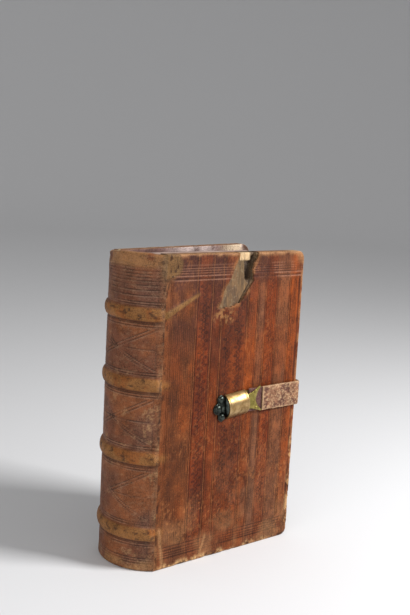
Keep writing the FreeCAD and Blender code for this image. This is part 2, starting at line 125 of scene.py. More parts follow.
def noise(a, b, size, seed=0, octaves=3):
    """Smooth noise from 0 to 1 over two coordinates, with features of a size in millimetres."""
    total, weight = 0.0, 0.0
    for octave in range(octaves):
        u = a / size * 2 ** octave + 31.7 * seed + 7.3 * octave + 1000
        v = b / size * 2 ** octave + 17.9 * seed + 3.1 * octave + 1000
        iu, iv = np.floor(u).astype(int), np.floor(v).astype(int)
        fu, fv = smooth(u - iu), smooth(v - iv)
        corner = lambda du, dv: lattice[(iu + du) % 256, (iv + dv) % 256]
        low = corner(0, 0) * (1 - fu) + corner(1, 0) * fu
        high = corner(0, 1) * (1 - fu) + corner(1, 1) * fu
        total = total + (low * (1 - fv) + high * fv) / 2 ** octave
        weight += 1 / 2 ** octave
    return total / weight


def patches(a, b, size, seed, low, high, octaves=3):
    """1 in patches of noise and 0 between them, with a soft rim from low to high."""
    return step(noise(a, b, size, seed, octaves), low, high)


def between(value, low, high, soft):
    """1 from low to high, with both ends softened by the same half width."""
    return step(value, low - soft, low + soft) * step(value, high + soft, high - soft)


def line(value, centre, half_width):
    """1 on a line, falling to 0 at its sides."""
    return 1 - smooth(np.abs(value - centre) / half_width)


def lines(value, centres, half_width):
    """1 on each of several lines."""
    return np.max([line(value, centre, half_width) for centre in centres], axis=0)


# %% [markdown]
# ## From a grid to a piece
# Most pieces here are sheets of leather, so most meshes start as a grid of points.
# Each point also carries a tint, the colour that the binder's tools, hands and dust
# have left there, with painted shade and painted highlights in a few places. It is
# laid on in washes, as a dyer would, and the leather's material reads it as a colour attribute.

# %% Tints
def linear(red, green, blue):
    """A colour as it is seen on a screen, 0 to 255, as Blender's linear values."""
    out = []
    for value in (red, green, blue):
        value /= 255
        out.append(value / 12.92 if value <= 0.04045 else ((value + 0.055) / 1.055) ** 2.4)
    return tuple(out)


class Tint:
    """A colour at each point of a piece."""

    def __init__(self, shape, colour):
        self.colour = np.zeros(shape + (3,)) + np.array(linear(*colour))

    def wash(self, colour, amount):
        """Lays a colour over the tint, by an amount from 0 to 1 at each point."""
        amount = np.asarray(np.clip(amount, 0, 1))[..., None]
        self.colour = self.colour * (1 - amount) + np.array(linear(*colour)) * amount


# %% Grids and objects
weld_distance = 0.02


def shown(name, data):
    """A new object in the scene."""
    made = bpy.data.objects.new(name, data)
    bpy.context.scene.collection.objects.link(made)
    return made


def mesh_piece(name, points, faces, tint=None, smooth_shade=True):
    """An object from book millimetres and faces, with a tint at each point."""
    mesh = bpy.data.meshes.new(name)
    mesh.from_pydata([tuple(p) for p in placed(points)], [], [tuple(f) for f in faces])
    if tint is not None:
        layer = mesh.attributes.new("tint", "FLOAT_COLOR", "POINT")
        values = np.ones((len(points), 4), np.float32)
        values[:, :3] = tint
        layer.data.foreach_set("color", values.ravel())
    mesh.polygons.foreach_set("use_smooth", [smooth_shade] * len(mesh.polygons))
    mesh.update()
    return shown(name, mesh)


def grid_faces(rows, columns, start=0, close=False, flip=False):
    """Quads of a grid of points in row order; close joins the last column to the first."""
    faces = []
    for i in range(rows - 1):
        for j in range(columns if close else columns - 1):
            k = (j + 1) % columns
            quad = (start + i * columns + j, start + i * columns + k,
                    start + (i + 1) * columns + k, start + (i + 1) * columns + j)
            faces.append(quad[::-1] if flip else quad)
    return faces


def swept_faces(rows, loop):
    """Faces of a closed loop of points that is swept along rows, with a cap at each end."""
    last = (rows - 1) * loop
    caps = [tuple(range(loop))[::-1], tuple(last + j for j in range(loop))]
    return grid_faces(rows, loop, close=True) + caps


def slab(outline, other):
    """Points and faces of a slab between two outlines of as many points."""
    n = len(outline)
    faces = [tuple(range(n)), tuple(range(2 * n - 1, n - 1, -1))]
    faces += [(i, n + i, n + (i + 1) % n, (i + 1) % n) for i in range(n)]
    return np.array(outline + other), faces


@contextmanager
def opened(thing):
    """A piece's mesh, open for editing."""
    work = bmesh.new()
    work.from_mesh(thing.data)
    yield work
    work.to_mesh(thing.data)
    work.free()


def weld(thing):
    """Joins points that lie together."""
    with opened(thing) as work:
        bmesh.ops.remove_doubles(work, verts=work.verts, dist=weld_distance * MM)
    return thing


def outward(thing):
    """Points all faces of a closed piece outwards."""
    with opened(thing) as work:
        bmesh.ops.recalc_face_normals(work, faces=work.faces)
    return thing


def applied(thing):
    """The piece as its modifiers leave it, with a plain mesh and no modifiers."""
    depsgraph = bpy.context.evaluated_depsgraph_get()
    made = bpy.data.meshes.new_from_object(thing.evaluated_get(depsgraph))
    thing.modifiers.clear()
    thing.data = made
    return thing


def stands_for(thing, body, slot, *nodes):
    """Says which body a piece moves with and which solids it stands for; slot is not used."""
    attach(thing, body)
    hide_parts(*nodes)
    print(thing.name, len(thing.data.polygons), "faces")


def dress(thing, finish, body, slot, *nodes):
    """Gives a piece its finish as well."""
    thing.data.materials.append(finish)
    stands_for(thing, body, slot, *nodes)


# %% [markdown]
# ## Materials
# A material is a small graph of nodes. Each builder below adds noise to a colour,
# varies the gloss, and raises a fine grain with Bump. Object coordinates are in
# metres on this model, so a grain of half a millimetre is a noise scale of 2000.

# %% A small helper for node graphs
def fill(tree, socket, value):
    """Joins an output to a socket, or sets the socket's value."""
    if isinstance(value, bpy.types.NodeSocket):
        tree.links.new(value, socket)
    else:
        socket.default_value = (*value, 1.0) if socket.type == "RGBA" else value


def add_node(tree, kind, inputs, output, **settings):
    """Adds a node, fills its inputs by name or number, and gives one of its outputs."""
    node = tree.nodes.new(kind)
    for key, value in settings.items():
        setattr(node, key, value)
    for key, value in inputs.items():
        fill(tree, node.inputs[key], value)
    return node.outputs[output]


class Graph:
    """Short words for the shader nodes of one material."""

    def __init__(self, name):
        self.material = bpy.data.materials.new(name)
        self.material.use_nodes = True
        self.tree = self.material.node_tree
        self.shader = self.tree.nodes["Principled BSDF"].inputs
        self.place = self.add("TexCoord", {}, "Object")

    def add(self, kind, inputs, output, **settings):
        return add_node(self.tree, "ShaderNode" + kind, inputs, output, **settings)

    def stretched(self, scale):
        return self.add("Mapping", {"Vector": self.place, "Scale": scale}, "Vector")

    def noise(self, scale, detail=4.0, rough=0.55, vector=None):
        return self.add("TexNoise", {"Vector": vector or self.place, "Scale": scale,
                                     "Detail": detail, "Roughness": rough}, "Fac")

    def cells(self, scale):
        """How far a place is from the border between two cells."""
        return self.add("TexVoronoi", {"Vector": self.place, "Scale": scale}, "Distance",
                        feature="DISTANCE_TO_EDGE")

    def ramp(self, value, low, high, out_low=0.0, out_high=1.0):
        return self.add("MapRange", {"Value": value, "From Min": low, "From Max": high,
                                     "To Min": out_low, "To Max": out_high}, "Result")

    def mix(self, amount, first, second, blend="MIX"):
        return self.add("Mix", {0: amount, 6: first, 7: second}, 2,
                        data_type="RGBA", blend_type=blend)

    def math(self, kind, first, second):
        return self.add("Math", {0: first, 1: second}, 0, operation=kind)

    def tint(self):
        return self.add("Attribute", {}, "Color", attribute_name="tint")

    def bump(self, height, distance_mm, strength):
        """Raises the surface, on top of what earlier bumps have raised."""
        inputs = {"Height": height, "Distance": distance_mm * MM, "Strength": strength}
        if self.shader["Normal"].links:
            inputs["Normal"] = self.shader["Normal"].links[0].from_socket
        fill(self.tree, self.shader["Normal"], self.add("Bump", inputs, "Normal"))

    def finish(self, colour, rough, metal=0.0):
        fill(self.tree, self.shader["Base Color"], colour)
        fill(self.tree, self.shader["Roughness"], rough)
        self.shader["Metallic"].default_value = metal
        return self.material


# %% Leather
def leather(name, grain=1500.0, grain_mm=0.10, shine=(0.42, 0.68), fleck=(0.34, 0.135, 0.045),
            fleck_share=0.38, fibre_share=0.0, sheen=0.2):
    """Old calf: the tint with fine flecks, pores, cracks in the grain and an uneven polish."""
    g = Graph(name)
    patch = g.noise(160.0, 5.0)
    fine = g.noise(1100.0, 5.0, 0.7)
    pores = g.noise(1900.0, 4.0, 0.65)
    dark = (0.016, 0.005, 0.002)
    colour = g.mix(g.ramp(patch, 0.35, 0.75, 0.0, 0.30), g.tint(), dark, "MULTIPLY")
    colour = g.mix(g.ramp(fine, 0.56, 0.74, 0.0, fleck_share), colour, fleck)
    if fibre_share:
        fibre = g.noise(130.0, 5.0, 0.65, g.stretched((11.0, 11.0, 1.0)))
        colour = g.mix(g.ramp(fibre, 0.50, 0.68, 0.0, fibre_share), colour, dark)
    colour = g.mix(g.ramp(pores, 0.52, 0.66, 0.0, 0.70), colour, dark)
    crackle = g.ramp(g.cells(620.0), 0.0, 0.09, 0.5, 0.0)
    colour = g.mix(g.math("MULTIPLY", crackle, g.ramp(patch, 0.42, 0.58)), colour, dark)
    rough = g.ramp(g.math("ADD", patch, fine), 0.7, 1.3, *shine)
    g.bump(g.cells(grain), grain_mm, 0.8)
    g.bump(g.noise(450.0, 6.0, 0.7), grain_mm * 3.0, 0.8)
    g.bump(pores, grain_mm * 1.5, 0.7)
    g.shader["Specular IOR Level"].default_value = sheen
    return g.finish(colour, rough)


cover_finish = leather("worn_calf", fibre_share=0.5, sheen=0.14)
spine_finish = leather("spine_calf", grain=1300.0, fleck=(0.36, 0.24, 0.15), fleck_share=0.42)
strap_finish = leather("strap_leather_finish", grain=900.0, grain_mm=0.2, shine=(0.6, 0.85),
                       fleck=(0.42, 0.30, 0.22), fleck_share=0.6)
print("leathers made")


# %% Wood, paper, cloth and metal
def wood(name):
    """Dry wood with grain along the board's height."""
    g = Graph(name)
    fibre = g.noise(90.0, 6.0, 0.6, g.stretched((14.0, 14.0, 1.0)))
    colour = g.mix(g.ramp(fibre, 0.35, 0.7), g.tint(), (0.055, 0.032, 0.016))
    colour = g.mix(g.ramp(g.noise(700.0), 0.55, 0.8, 0.0, 0.5), colour, (0.33, 0.25, 0.14))
    g.bump(fibre, 0.35, 0.8)
    return g.finish(colour, g.ramp(fibre, 0.3, 0.7, 0.65, 0.9))


def paper(name, colour, edge_dirt, foxing):
    """Old paper with a soft mottling and brown spots."""
    g = Graph(name)
    base = g.mix(g.ramp(g.noise(60.0, 6.0), 0.4, 0.7), linear(*colour), linear(*edge_dirt))
    spots = g.ramp(g.noise(220.0, 2.0), 0.68, 0.78, 0.0, 0.7)
    g.bump(g.noise(1400.0, 5.0), 0.05, 0.6)
    return g.finish(g.mix(spots, base, linear(*foxing)), 0.9)


def thread(name, colour, dark, scale=900.0):
    """Coarse spun thread or cloth."""
    g = Graph(name)
    twist = g.noise(scale, 4.0, 0.6)
    g.bump(twist, 0.15, 0.8)
    return g.finish(g.mix(g.ramp(twist, 0.35, 0.65), linear(*colour), linear(*dark)), 0.92)


def metal(name, bright, dull, dirt, shine, dirt_share=0.55):
    """Old metal: bright where it is rubbed, dull and spotted where it isn't."""
    g = Graph(name)
    cloud = g.noise(260.0, 6.0, 0.6)
    base = g.mix(g.ramp(cloud, 0.38, 0.66), linear(*bright), linear(*dull))
    spots = g.ramp(g.noise(900.0, 5.0, 0.7), 0.56, 0.72, 0.0, dirt_share)
    base = g.mix(spots, base, linear(*dirt))
    g.bump(g.noise(1300.0, 5.0, 0.7), 0.05, 0.5)
    g.bump(cloud, 0.12, 0.4)
    return g.finish(base, g.ramp(cloud, 0.3, 0.7, *shine), 1.0)


wood_finish = wood("dry_board_wood")
page_finish = paper("page_edges", (150, 128, 118), (96, 74, 66), (84, 56, 42))
pastedown_finish = paper("pastedown_finish", (186, 168, 138), (150, 126, 96), (120, 84, 52))
cord_finish = thread("cord_finish", (170, 150, 115), (95, 78, 55))
lining_finish = thread("lining_finish", (178, 160, 128), (120, 102, 76), 1600.0)
brass_finish = metal("aged_brass", (180, 150, 106), (124, 96, 54), (66, 48, 26), (0.30, 0.50), 0.7)
olive_finish = metal("olive_brass", (160, 144, 80), (108, 98, 48), (62, 54, 30), (0.3, 0.55))
# near-black metal: partly the tarnish of the catch and nails, partly painted shade, as the catch sits in
# shade
dark_metal_and_shade_finish = metal("dark_catch_metal", (72, 78, 72), (28, 30, 29), (12, 11, 11), (0.22, 0.45))
print("materials made")

# %% [markdown]
# ## Blind tooling on the covers
# The binder pressed warm brass tools into damp leather, with no gold. Straight
# fillets frame the cover, and engraved rolls run up it in strips of leaves. They
# are a few tenths of a millimetre deep, so they are part of the mesh: the grid gets
# extra lines just where a fillet runs, and the rolls are a pattern of plain leaves.

# %% Where the fillets and rolls run
# strip edges across the cover, from the joint
edge_margin = 3.5
strips = [edge_margin, 20.4, 31.0, 38.0, 56.5, 64.0, 69.6, 78.4, 88.0, width - edge_margin]
# distances of the fillets from the head and from the tail
head_fillets = [5.6, 6.9, 8.2, 9.5, 10.8, 13.0]
tail_fillets = [6.0, 7.3, 8.6, 10.2, 12.0]
fillet_levels = [height - down for down in head_fillets] + tail_fillets
panel_margin = 1.5
panel_low = tail_fillets[-1] + panel_margin
panel_high = height - head_fillets[-1] - panel_margin
fillet_half = 0.42
fillet_columns = [edge + shift for edge in strips for shift in (-0.55, 0.55)]
# a roll's low and high side, the length of one pair of leaves, and its seed
roll_margin, roll_rim = 1.4, 0.3
rolls = [(strips[n] + roll_margin, strips[n + 1] - roll_margin, pitch, seed)
         for n, pitch, seed in ((1, 4.4, 11), (3, 4.8, 12), (6, 4.0, 13), (8, 4.6, 14))]


leaf_width = 7.0


def leaves(a, b, wide, pitch, seed):
    """A roll of opposed leaves and beads, 1 where the tool has pressed."""
    columns = max(1, round(wide / leaf_width))
    off = ((a / wide + 0.5) * columns % 1.0 - 0.5) * 2
    along = (b / pitch) % 1.0 - 0.5
    stem = line(off, 0.3 * np.sin(2 * np.pi * b / pitch), 0.20)
    leaf = line(np.hypot((np.abs(off) - 0.50) * 1.5, (along - 0.20 * np.sign(off)) * 3.2), 0.36, 0.30)
    bead = line(np.hypot(off * 0.9, (np.abs(along) - 0.42) * 4.5), 0.0, 0.42)
    worn = 0.25 + 0.75 * patches(a, b, 5.0, seed, 0.36, 0.62, 4)
    return np.maximum(np.maximum(stem, leaf), bead) * worn


def in_roll(x):
    """1 inside the strips that a roll has gone over."""
    return np.max([between(x, low, high, roll_rim) for low, high, pitch, seed in rolls], axis=0)


def tooling(x, z):
    """How deep the fillets and the rolls have pressed at a place on a cover, from 0 to 1."""
    inside = between(z, panel_low, panel_high, 0.4)
    level = lines(z, fillet_levels, fillet_half) * step(x, 1.5, edge_margin)
    upright = lines(x, fillet_columns, fillet_half) * inside
    pressed = [leaves(x - (low + high) / 2, z, high - low, pitch, seed)
               * between(x, low, high, roll_rim) * inside for low, high, pitch, seed in rolls]
    wear = 0.35 + 0.65 * patches(x, z, 16.0, 5, 0.3, 0.6)
    return np.maximum(level, upright) * wear, np.max(pressed, axis=0)


# %% [markdown]
# ## The tear and the split
# At the head of the front cover the leather is torn off, and the board under it has
# split. The tear's outline is short straight runs with a ragged edge. Points are
# given from the joint and down from the head, as on the solid.

# %% Outline of the tear
tear = np.array([
    (48.5, -2.0), (48.3, 2.9), (45.8, 7.1), (42.7, 14.3), (38.8, 20.2), (37.2, 25.6), (34.7, 30.0),
    (41.5, 29.5), (50.3, 27.5), (54.8, 22.2), (60.1, 15.3), (58.7, 9.4), (61.6, 3.3), (63.9, -2.0)])
split = np.array([
    (52.6, 4.9), (56.9, 4.2), (59.0, 2.0), (61.0, 0.6), (62.2, -2.0), (60.4, 3.6), (59.2, 7.5),
    (59.1, 13.7), (50.3, 27.5), (49.4, 26.9), (55.6, 17.3), (53.3, 14.1)])
crack_line = np.array([(58.9, 13.7), (50.3, 27.5)])


def sides(outline):
    """Each side of a closed outline, as its two ends."""
    return zip(outline, np.roll(outline, -1, axis=0))


def inside_outline(x, down, outline):
    """True where a place lies inside a closed outline."""
    found = np.zeros(np.shape(x), bool)
    for (ax, ay), (bx, by) in sides(outline):
        crosses = (ay > down) != (by > down)
        with np.errstate(divide="ignore", invalid="ignore"):
            at = ax + (down - ay) * (bx - ax) / (by - ay)
        found ^= crosses & (x < at)
    return found


def along_run(x, y, start, end):
    """How far along a straight run a place lies, from 0 to 1, and its distance from the run."""
    run = end - start
    t = np.clip(((x - start[0]) * run[0] + (y - start[1]) * run[1]) / (run @ run), 0, 1)
    return t, np.hypot(x - start[0] - t * run[0], y - start[1] - t * run[1])


def edge_distance(x, down, outline):
    """How far a place is from an outline's nearest side."""
    return np.min([along_run(x, down, a, b)[1] for a, b in sides(outline)], axis=0)


def ragged(x, down):
    """The place moved a little, so that a straight outline reads as a torn one."""
    return [place + 1.3 * (noise(x, down, 2.6, seed) - 0.5) for place, seed in ((x, 21), (down, 22))]


# %% [markdown]
# ## A cover's leather
# The leather lies over the board's outer face, round its soft edges and onto its
# inner side. The outer face is a grid. Round it run rings of points, each one the
# next step of the leather's way over the edge: down the face, round the corner,
# along the board's edge and in over the wood, where the pastedown meets it. A box
# with a bevel would do for a new book. Rings can be knocked and rubbed one by one.

# %% Height of a cover's outer face
ridge_start, ridge_end = np.array([0.5, 136.9]), np.array([21.5, 146.8])
ridge_side, ridge_rise = 2.9, 0.85
wormholes = ((58.5, 113.4), (88.5, 25.2), (30.0, 60.0))
fillet_depth, roll_depth = 0.22, 0.20


def ridge(x, z):
    """The laced cord that shows through, leaning up from the first band."""
    t, away = along_run(x, z, ridge_start, ridge_end)
    return line(away, 0.0, ridge_side) * (1 - 0.55 * t)


def cover_height(x, z, front):
    """How far the leather stands out of its plane, in millimetres."""
    fillets, pressed = tooling(x, z)
    rise = 0.35 * (noise(x, z, 22.0, 1) - 0.5) + 0.16 * (noise(x, z, 3.0, 2) - 0.5)
    rise = rise - fillet_depth * fillets - roll_depth * pressed
    for level in band_levels[1 if front else 0:]:
        rise = rise + 0.32 * line(z, level, 3.4) * step(x, 17.0, 4.0)
    if front:
        rise = rise + ridge_rise * ridge(x, z)
        for hole_x, hole_z in wormholes:
            rise = rise - 0.5 * line(np.hypot(x - hole_x, z - hole_z), 0.0, 0.7)
    return rise


# %% [markdown]
# ## The colour of old calf
# Each strip of the real cover has aged in its own way: red near the joint, orange
# where hands have polished it, violet at the head, grey with dust at the tail. A
# painted picture could hold that. Washes of colour over soft noise need no picture,
# stay sharp from near by, and can follow the fillets, the edges and the tear.

# %% The tones of old calf
deep, red, brown, orange = (38, 15, 8), (92, 32, 8), (112, 50, 14), (144, 70, 22)
grey, tan, violet, fawn = (120, 78, 56), (112, 62, 30), (76, 44, 38), (130, 90, 68)
pale, dust, bare, joint_brown = (168, 128, 92), (150, 116, 84), (118, 92, 60), (124, 72, 38)
strip_tones = [tan, red, brown, (94, 40, 14), orange, grey, (122, 52, 16), (130, 80, 52), orange]
age = np.array([1.05, 0.94, 0.80])


def dye_strips(tint, x, z):
    """The strips between the fillets have kept their dye unevenly."""
    soft = 0.9 + 1.2 * noise(x, z, 9.0, 31)
    for tone, low, high in zip(strip_tones, strips, strips[1:]):
        tint.wash(tone, between(x, low, high, soft))
    tint.wash(grey, 0.55 * step(z, panel_low + 2, panel_low - 2))
    streak = noise(x * 3.2, z, 26.0, 33)
    tint.wash(orange, 0.45 * step(streak, 0.5, 0.75))
    tint.wash(deep, 0.45 * step(streak, 0.48, 0.25))
    tint.wash(grey, 0.30 * patches(x, z, 34.0, 34, 0.5, 0.72))
    tint.wash(violet, 0.80 * step(z, panel_high - 4, panel_high + 2) * step(x, 96.0, 66.0))
    violet_cloud = step(z, 100.0, 146.0) * patches(x, z, 12.0, 47, 0.30, 0.52)
    tint.wash(violet, 0.75 * violet_cloud * step(x, 74.0, 52.0))
    tint.wash(grey, 0.40 * step(z, panel_high - 2, panel_high + 2) * step(x, 60.0, 90.0))
    low_cloud = step(z, 78.0, 30.0) * patches(x * 1.5, z, 18.0, 56, 0.34, 0.58)
    tint.wash(fawn, 0.50 * low_cloud * step(x, 16.0, 30.0))


def tool_marks_and_highlights(tint, x, z):
    """Tools burn the leather darker; the pale lines beside them are painted highlights on their ridges."""
    fillets, pressed = tooling(x, z)
    tint.wash(orange, 0.30 * step(pressed, 0.3, 0.0) * in_roll(x))
    tint.wash(deep, 0.90 * fillets + 0.62 * pressed)
    scratches = line((x / 1.3) % 1.0, 0.5, 0.5) * patches(x, z * 0.4, 6.0, 43, 0.38, 0.58)
    tint.wash(deep, 0.62 * scratches)
    # painted highlights: pale lines on the ridge just below each head fillet, and on the ridge between the
    # two fillets at each strip's edge
    ridge_highlight_share = np.maximum(patches(x, z, 8.0, 49, 0.36, 0.56), step(x, 48.0, 38.0))
    for down in head_fillets:
        fillet_ridge_highlight = line(z, height - down - 0.62, 0.36) * ridge_highlight_share
        tint.wash((168, 128, 112), 0.66 * fillet_ridge_highlight * step(x, 3.0, 9.0))
    for edge in strips[1:-1]:
        tint.wash((172, 112, 66), 0.45 * line(x, edge, 0.36) * ridge_highlight_share)


def wear_edges(tint, x, z, near, wide):
    """Specks, dust at the tail, rubbed edges, and the joint's brown with its cracks."""
    speck = patches(x * 1.6, z, 1.5, 35, 0.58, 0.72, 4) * (0.35 + 0.65 * step(z, 90.0, 20.0))
    tint.wash((176, 116, 70), 0.50 * speck * patches(x, z, 20.0, 44, 0.3, 0.6))
    tint.wash(dust, 0.40 * step(z, 46.0, 5.0) * patches(x, z, 12.0, 36, 0.35, 0.65))
    rub = step(near, 2.8, 0.4) * patches(x, z, 5.0, 37, 0.34, 0.6)
    rub = np.maximum(rub, step(near, 1.0, 0.2) * patches(x, z, 4.0, 45, 0.15, 0.35))
    tint.wash(pale, 0.85 * rub)
    knocks = step(near, 4.2, 1.2) * patches(x, z, 3.0, 57, 0.50, 0.60, 4)
    tint.wash((204, 168, 124), 0.9 * knocks * step(z, 95.0, 40.0))
    chips = step(near, 3.0, 1.0) * patches(x, z, 2.2, 58, 0.60, 0.68, 4)
    tint.wash(deep, 0.8 * chips * step(z, 60.0, 20.0))
    tint.wash(joint_brown, 0.75 * step(x, 7.0, 0.5))
    for level in band_levels:
        tint.wash((140, 98, 54), 0.75 * line(z, level, 4.0) * step(x, 6.5, 1.5))
    ends = 0.25 + 0.75 * np.maximum(step(z, 22.0, 8.0), step(height - z, 26.0, 10.0))
    tint.wash(dust, 0.50 * step(x, 3.4, 0.6) * patches(x, z, 5.0, 38, 0.38, 0.60, 4) * ends)
    tint.wash(deep, 0.75 * step(x, 2.6, 0.8) * patches(x * 2, z, 4.0, 46, 0.55, 0.66, 4))
    tint.wash(pale, 0.75 * step(np.hypot(wide - x, height - z), 9.0, 3.0))


# worn streaks at the tail: where each starts and ends, and its half width
tail_streaks = ((34.0, 12.0, 29.0, -2.0, 1.6), (2.5, 22.0, 6.0, -2.0, 2.0))


def wear_front(tint, x, z):
    """What only the front cover shows: the ridge, the rubbed head, the tear's rim and a ring."""
    down = height - z
    tint.wash((136, 102, 62), 0.9 * step(ridge(x, z), 0.22, 0.62))
    spread = np.hypot((x - 3.0) / 7.0, (z - 162.0) / 8.5) + 0.6 * (noise(x, z, 4.0, 50, 4) - 0.5)
    rubbed_head = step(spread, 1.1, 0.7)
    tint.wash(bare, 0.85 * rubbed_head)
    tint.wash(deep, 0.8 * rubbed_head * patches(x * 1.4, z, 2.2, 55, 0.55, 0.66, 4))
    fuzz = step(np.hypot((x - 40.0) / 9.0, (down - 34.0) / 5.0), 1.1, 0.5)
    tint.wash((158, 116, 76), 0.75 * fuzz * patches(x, z, 1.6, 59, 0.44, 0.58, 4))
    near_tear = step(edge_distance(x, down, tear), 2.4, 0.3) * patches(x, z, 3.0, 39, 0.35, 0.6)
    tint.wash((152, 108, 70), 0.6 * near_tear)
    for start_x, start_z, end_x, end_z, half in tail_streaks:
        middle = start_x + np.clip((z - start_z) / (end_z - start_z), 0, 1) * (end_x - start_x)
        tint.wash(pale, 0.75 * line(x, middle, half) * step(z, start_z + 3, start_z))
    ring = np.hypot((x - 57.6) / 5.2, (z - 34.5) / 8.6)
    tint.wash(deep, 0.45 * line(ring, 1.0, 0.16) + 0.25 * line(ring, 0.55, 0.14))


def cover_tint(x, z, near, front):
    """The colour of a cover's outer side."""
    tint = Tint(np.shape(x), brown)
    dye_strips(tint, x, z)
    tool_marks_and_highlights(tint, x, z)
    wear_edges(tint, x, z, near, width if front else back_width)
    if front:
        wear_front(tint, x, z)
    tint.colour = tint.colour * age
    return tint


# %% Lines and rings of the cover's mesh
face_inset = 6.0
corner = 4.5
knocked_corner = 6.5
head_slope = 2.0
soft_edge = 1.1
leather_thick = face - inner_face
mark_clear, mark_lines = 0.55, (-0.42, -0.15, 0.15, 0.42)


def grid_lines(low, high, pitch, marks):
    """Even grid lines, with closer ones at each pressed line."""
    base = list(np.linspace(low, high, int(round((high - low) / pitch)) + 1))
    for mark in marks:
        if low + 1 < mark < high - 1:
            base = [b for b in base if abs(b - mark) > mark_clear]
            base += [mark + shift for shift in mark_lines]
    return np.array(sorted(base))


def cover_rings():
    """The leather's way over the board's edge: inset from the outline, and depth."""
    way = [(inset, 0.0) for inset in (face_inset, 5.2, 4.4, 3.6, 2.9, 2.3, 1.8, 1.4)]
    way += [(soft_edge * (1 - math.sin(a)), soft_edge * (1 - math.cos(a)))
            for a in np.radians((0, 18, 36, 54, 72, 90))]
    way += [(0.0, depth) for depth in np.linspace(1.8, leather_thick - 0.6, 7)]
    way += [(0.5 * (1 - math.cos(a)), leather_thick - 0.5 * (1 - math.sin(a)))
            for a in np.radians((30, 60, 90))]
    return way + [(inset, leather_thick) for inset in (1.5, 4.0, 7.0, 10.0, 13.0)]


def shared_out(values, parts):
    """Puts each value at its share of a side's length, over the side's straight run and arcs."""
    out = []
    total = sum(length for length, make in parts)
    low, high = values[0], values[-1]
    for value in values:
        s = (value - low) / (high - low) * total
        for length, make in parts:
            if s <= length or (length, make) == parts[-1]:
                out.append(make(min(s / length, 1.0)))
                break
            s -= length
    return out


def ring_points(xs, zs, inset, wide, head_corner):
    """A ring at one inset: along the tail, up the fore-edge and back along the head."""
    shrunk = max(1 - inset / face_inset, 0.003)
    tail_r, head_r = corner * shrunk, head_corner * shrunk
    right, top = wide - inset, height - inset

    def eighth(radius, centre_z, start):
        """An eighth of a turn round one of the fore-edge's corners."""
        def place(t):
            angle = math.radians(start + 45 * t)
            return right - radius + radius * math.cos(angle), centre_z + radius * math.sin(angle)
        return math.pi * radius / 4, place

    tail_z, head_z = inset + tail_r, top - head_r
    tail = shared_out(xs, [(right - tail_r, lambda t: (t * (right - tail_r), inset)),
                           eighth(tail_r, tail_z, -90)])
    fore = shared_out(zs, [eighth(tail_r, tail_z, -45),
                           (head_z - tail_z, lambda t: (right, tail_z + t * (head_z - tail_z))),
                           eighth(head_r, head_z, 0)])
    head = shared_out(xs[::-1], [eighth(head_r, head_z, 45),
                                 (right - head_r, lambda t: ((right - head_r) * (1 - t), top))])
    return np.array(tail + fore[1:] + head[1:])


# %% The two covers
front_pitch, back_pitch = 0.55, 0.8
knock_reach, knock_depth, knock_low = 1.6, 0.55, 5.0
grain_depth = 0.3
turn_in_seen = 14.5


def cover_edges(tint, x, z, depth, wide):
    """Colours of the board's edges and of the leather that is turned in, with painted shade and painted
    highlights on the turned-in strip at the head.
    """
    turned_in = depth > leather_thick - 0.2
    tint.wash((104, 62, 42), 0.6 * (depth > 3.0))
    edge = step(depth, 0.25, 0.8) * (1 - turned_in)
    head = step(z, height - 2.0, height - 0.6) * (x < wide - 8.0)
    tint.wash((188, 152, 112), 0.85 * edge * patches(x, z + depth, 5.0, 42, 0.40, 0.62, 4)
              * (1 - 0.55 * head))
    inner = turned_in * step(z, height - turn_in_seen, height - turn_in_seen + 1.5)
    patch = patches(x, z, 7.0, 48, 0.36, 0.60, 4)
    # painted shade: most of the turned-in strip at the head is a dark grey violet, the shade it lies in
    tint.wash((112, 84, 80), 0.9 * inner * step(x, wide - 5.0, wide - 6.0))
    # painted highlights: whitish patches on the turned-in strip past its middle
    tint.wash((196, 178, 172), 0.85 * inner * patch * step(x, 24.0, 46.0))
    # painted shadow: a dark end on the turned-in strip towards the fore-edge, past the pages
    tint.wash((74, 44, 26), 0.9 * inner * step(x, wide - 6.5, wide - 5.5))
    # painted highlight: a cream band on the turned-in strip near the fore-edge
    lit = step(x, wide - 26.0, wide - 14.0) * step(x, wide - 6.0, wide - 8.0)
    tint.wash((222, 198, 166), 0.9 * inner * lit)


def torn_open(faces, x, down, depth):
    """The faces that are left when those inside the tear are dropped."""
    rx, rd = ragged(x, down)
    gone = inside_outline(rx, rd, tear) & (depth < leather_thick - 0.7)
    quads = np.array(faces)
    return quads[gone[quads].sum(1) < 3]


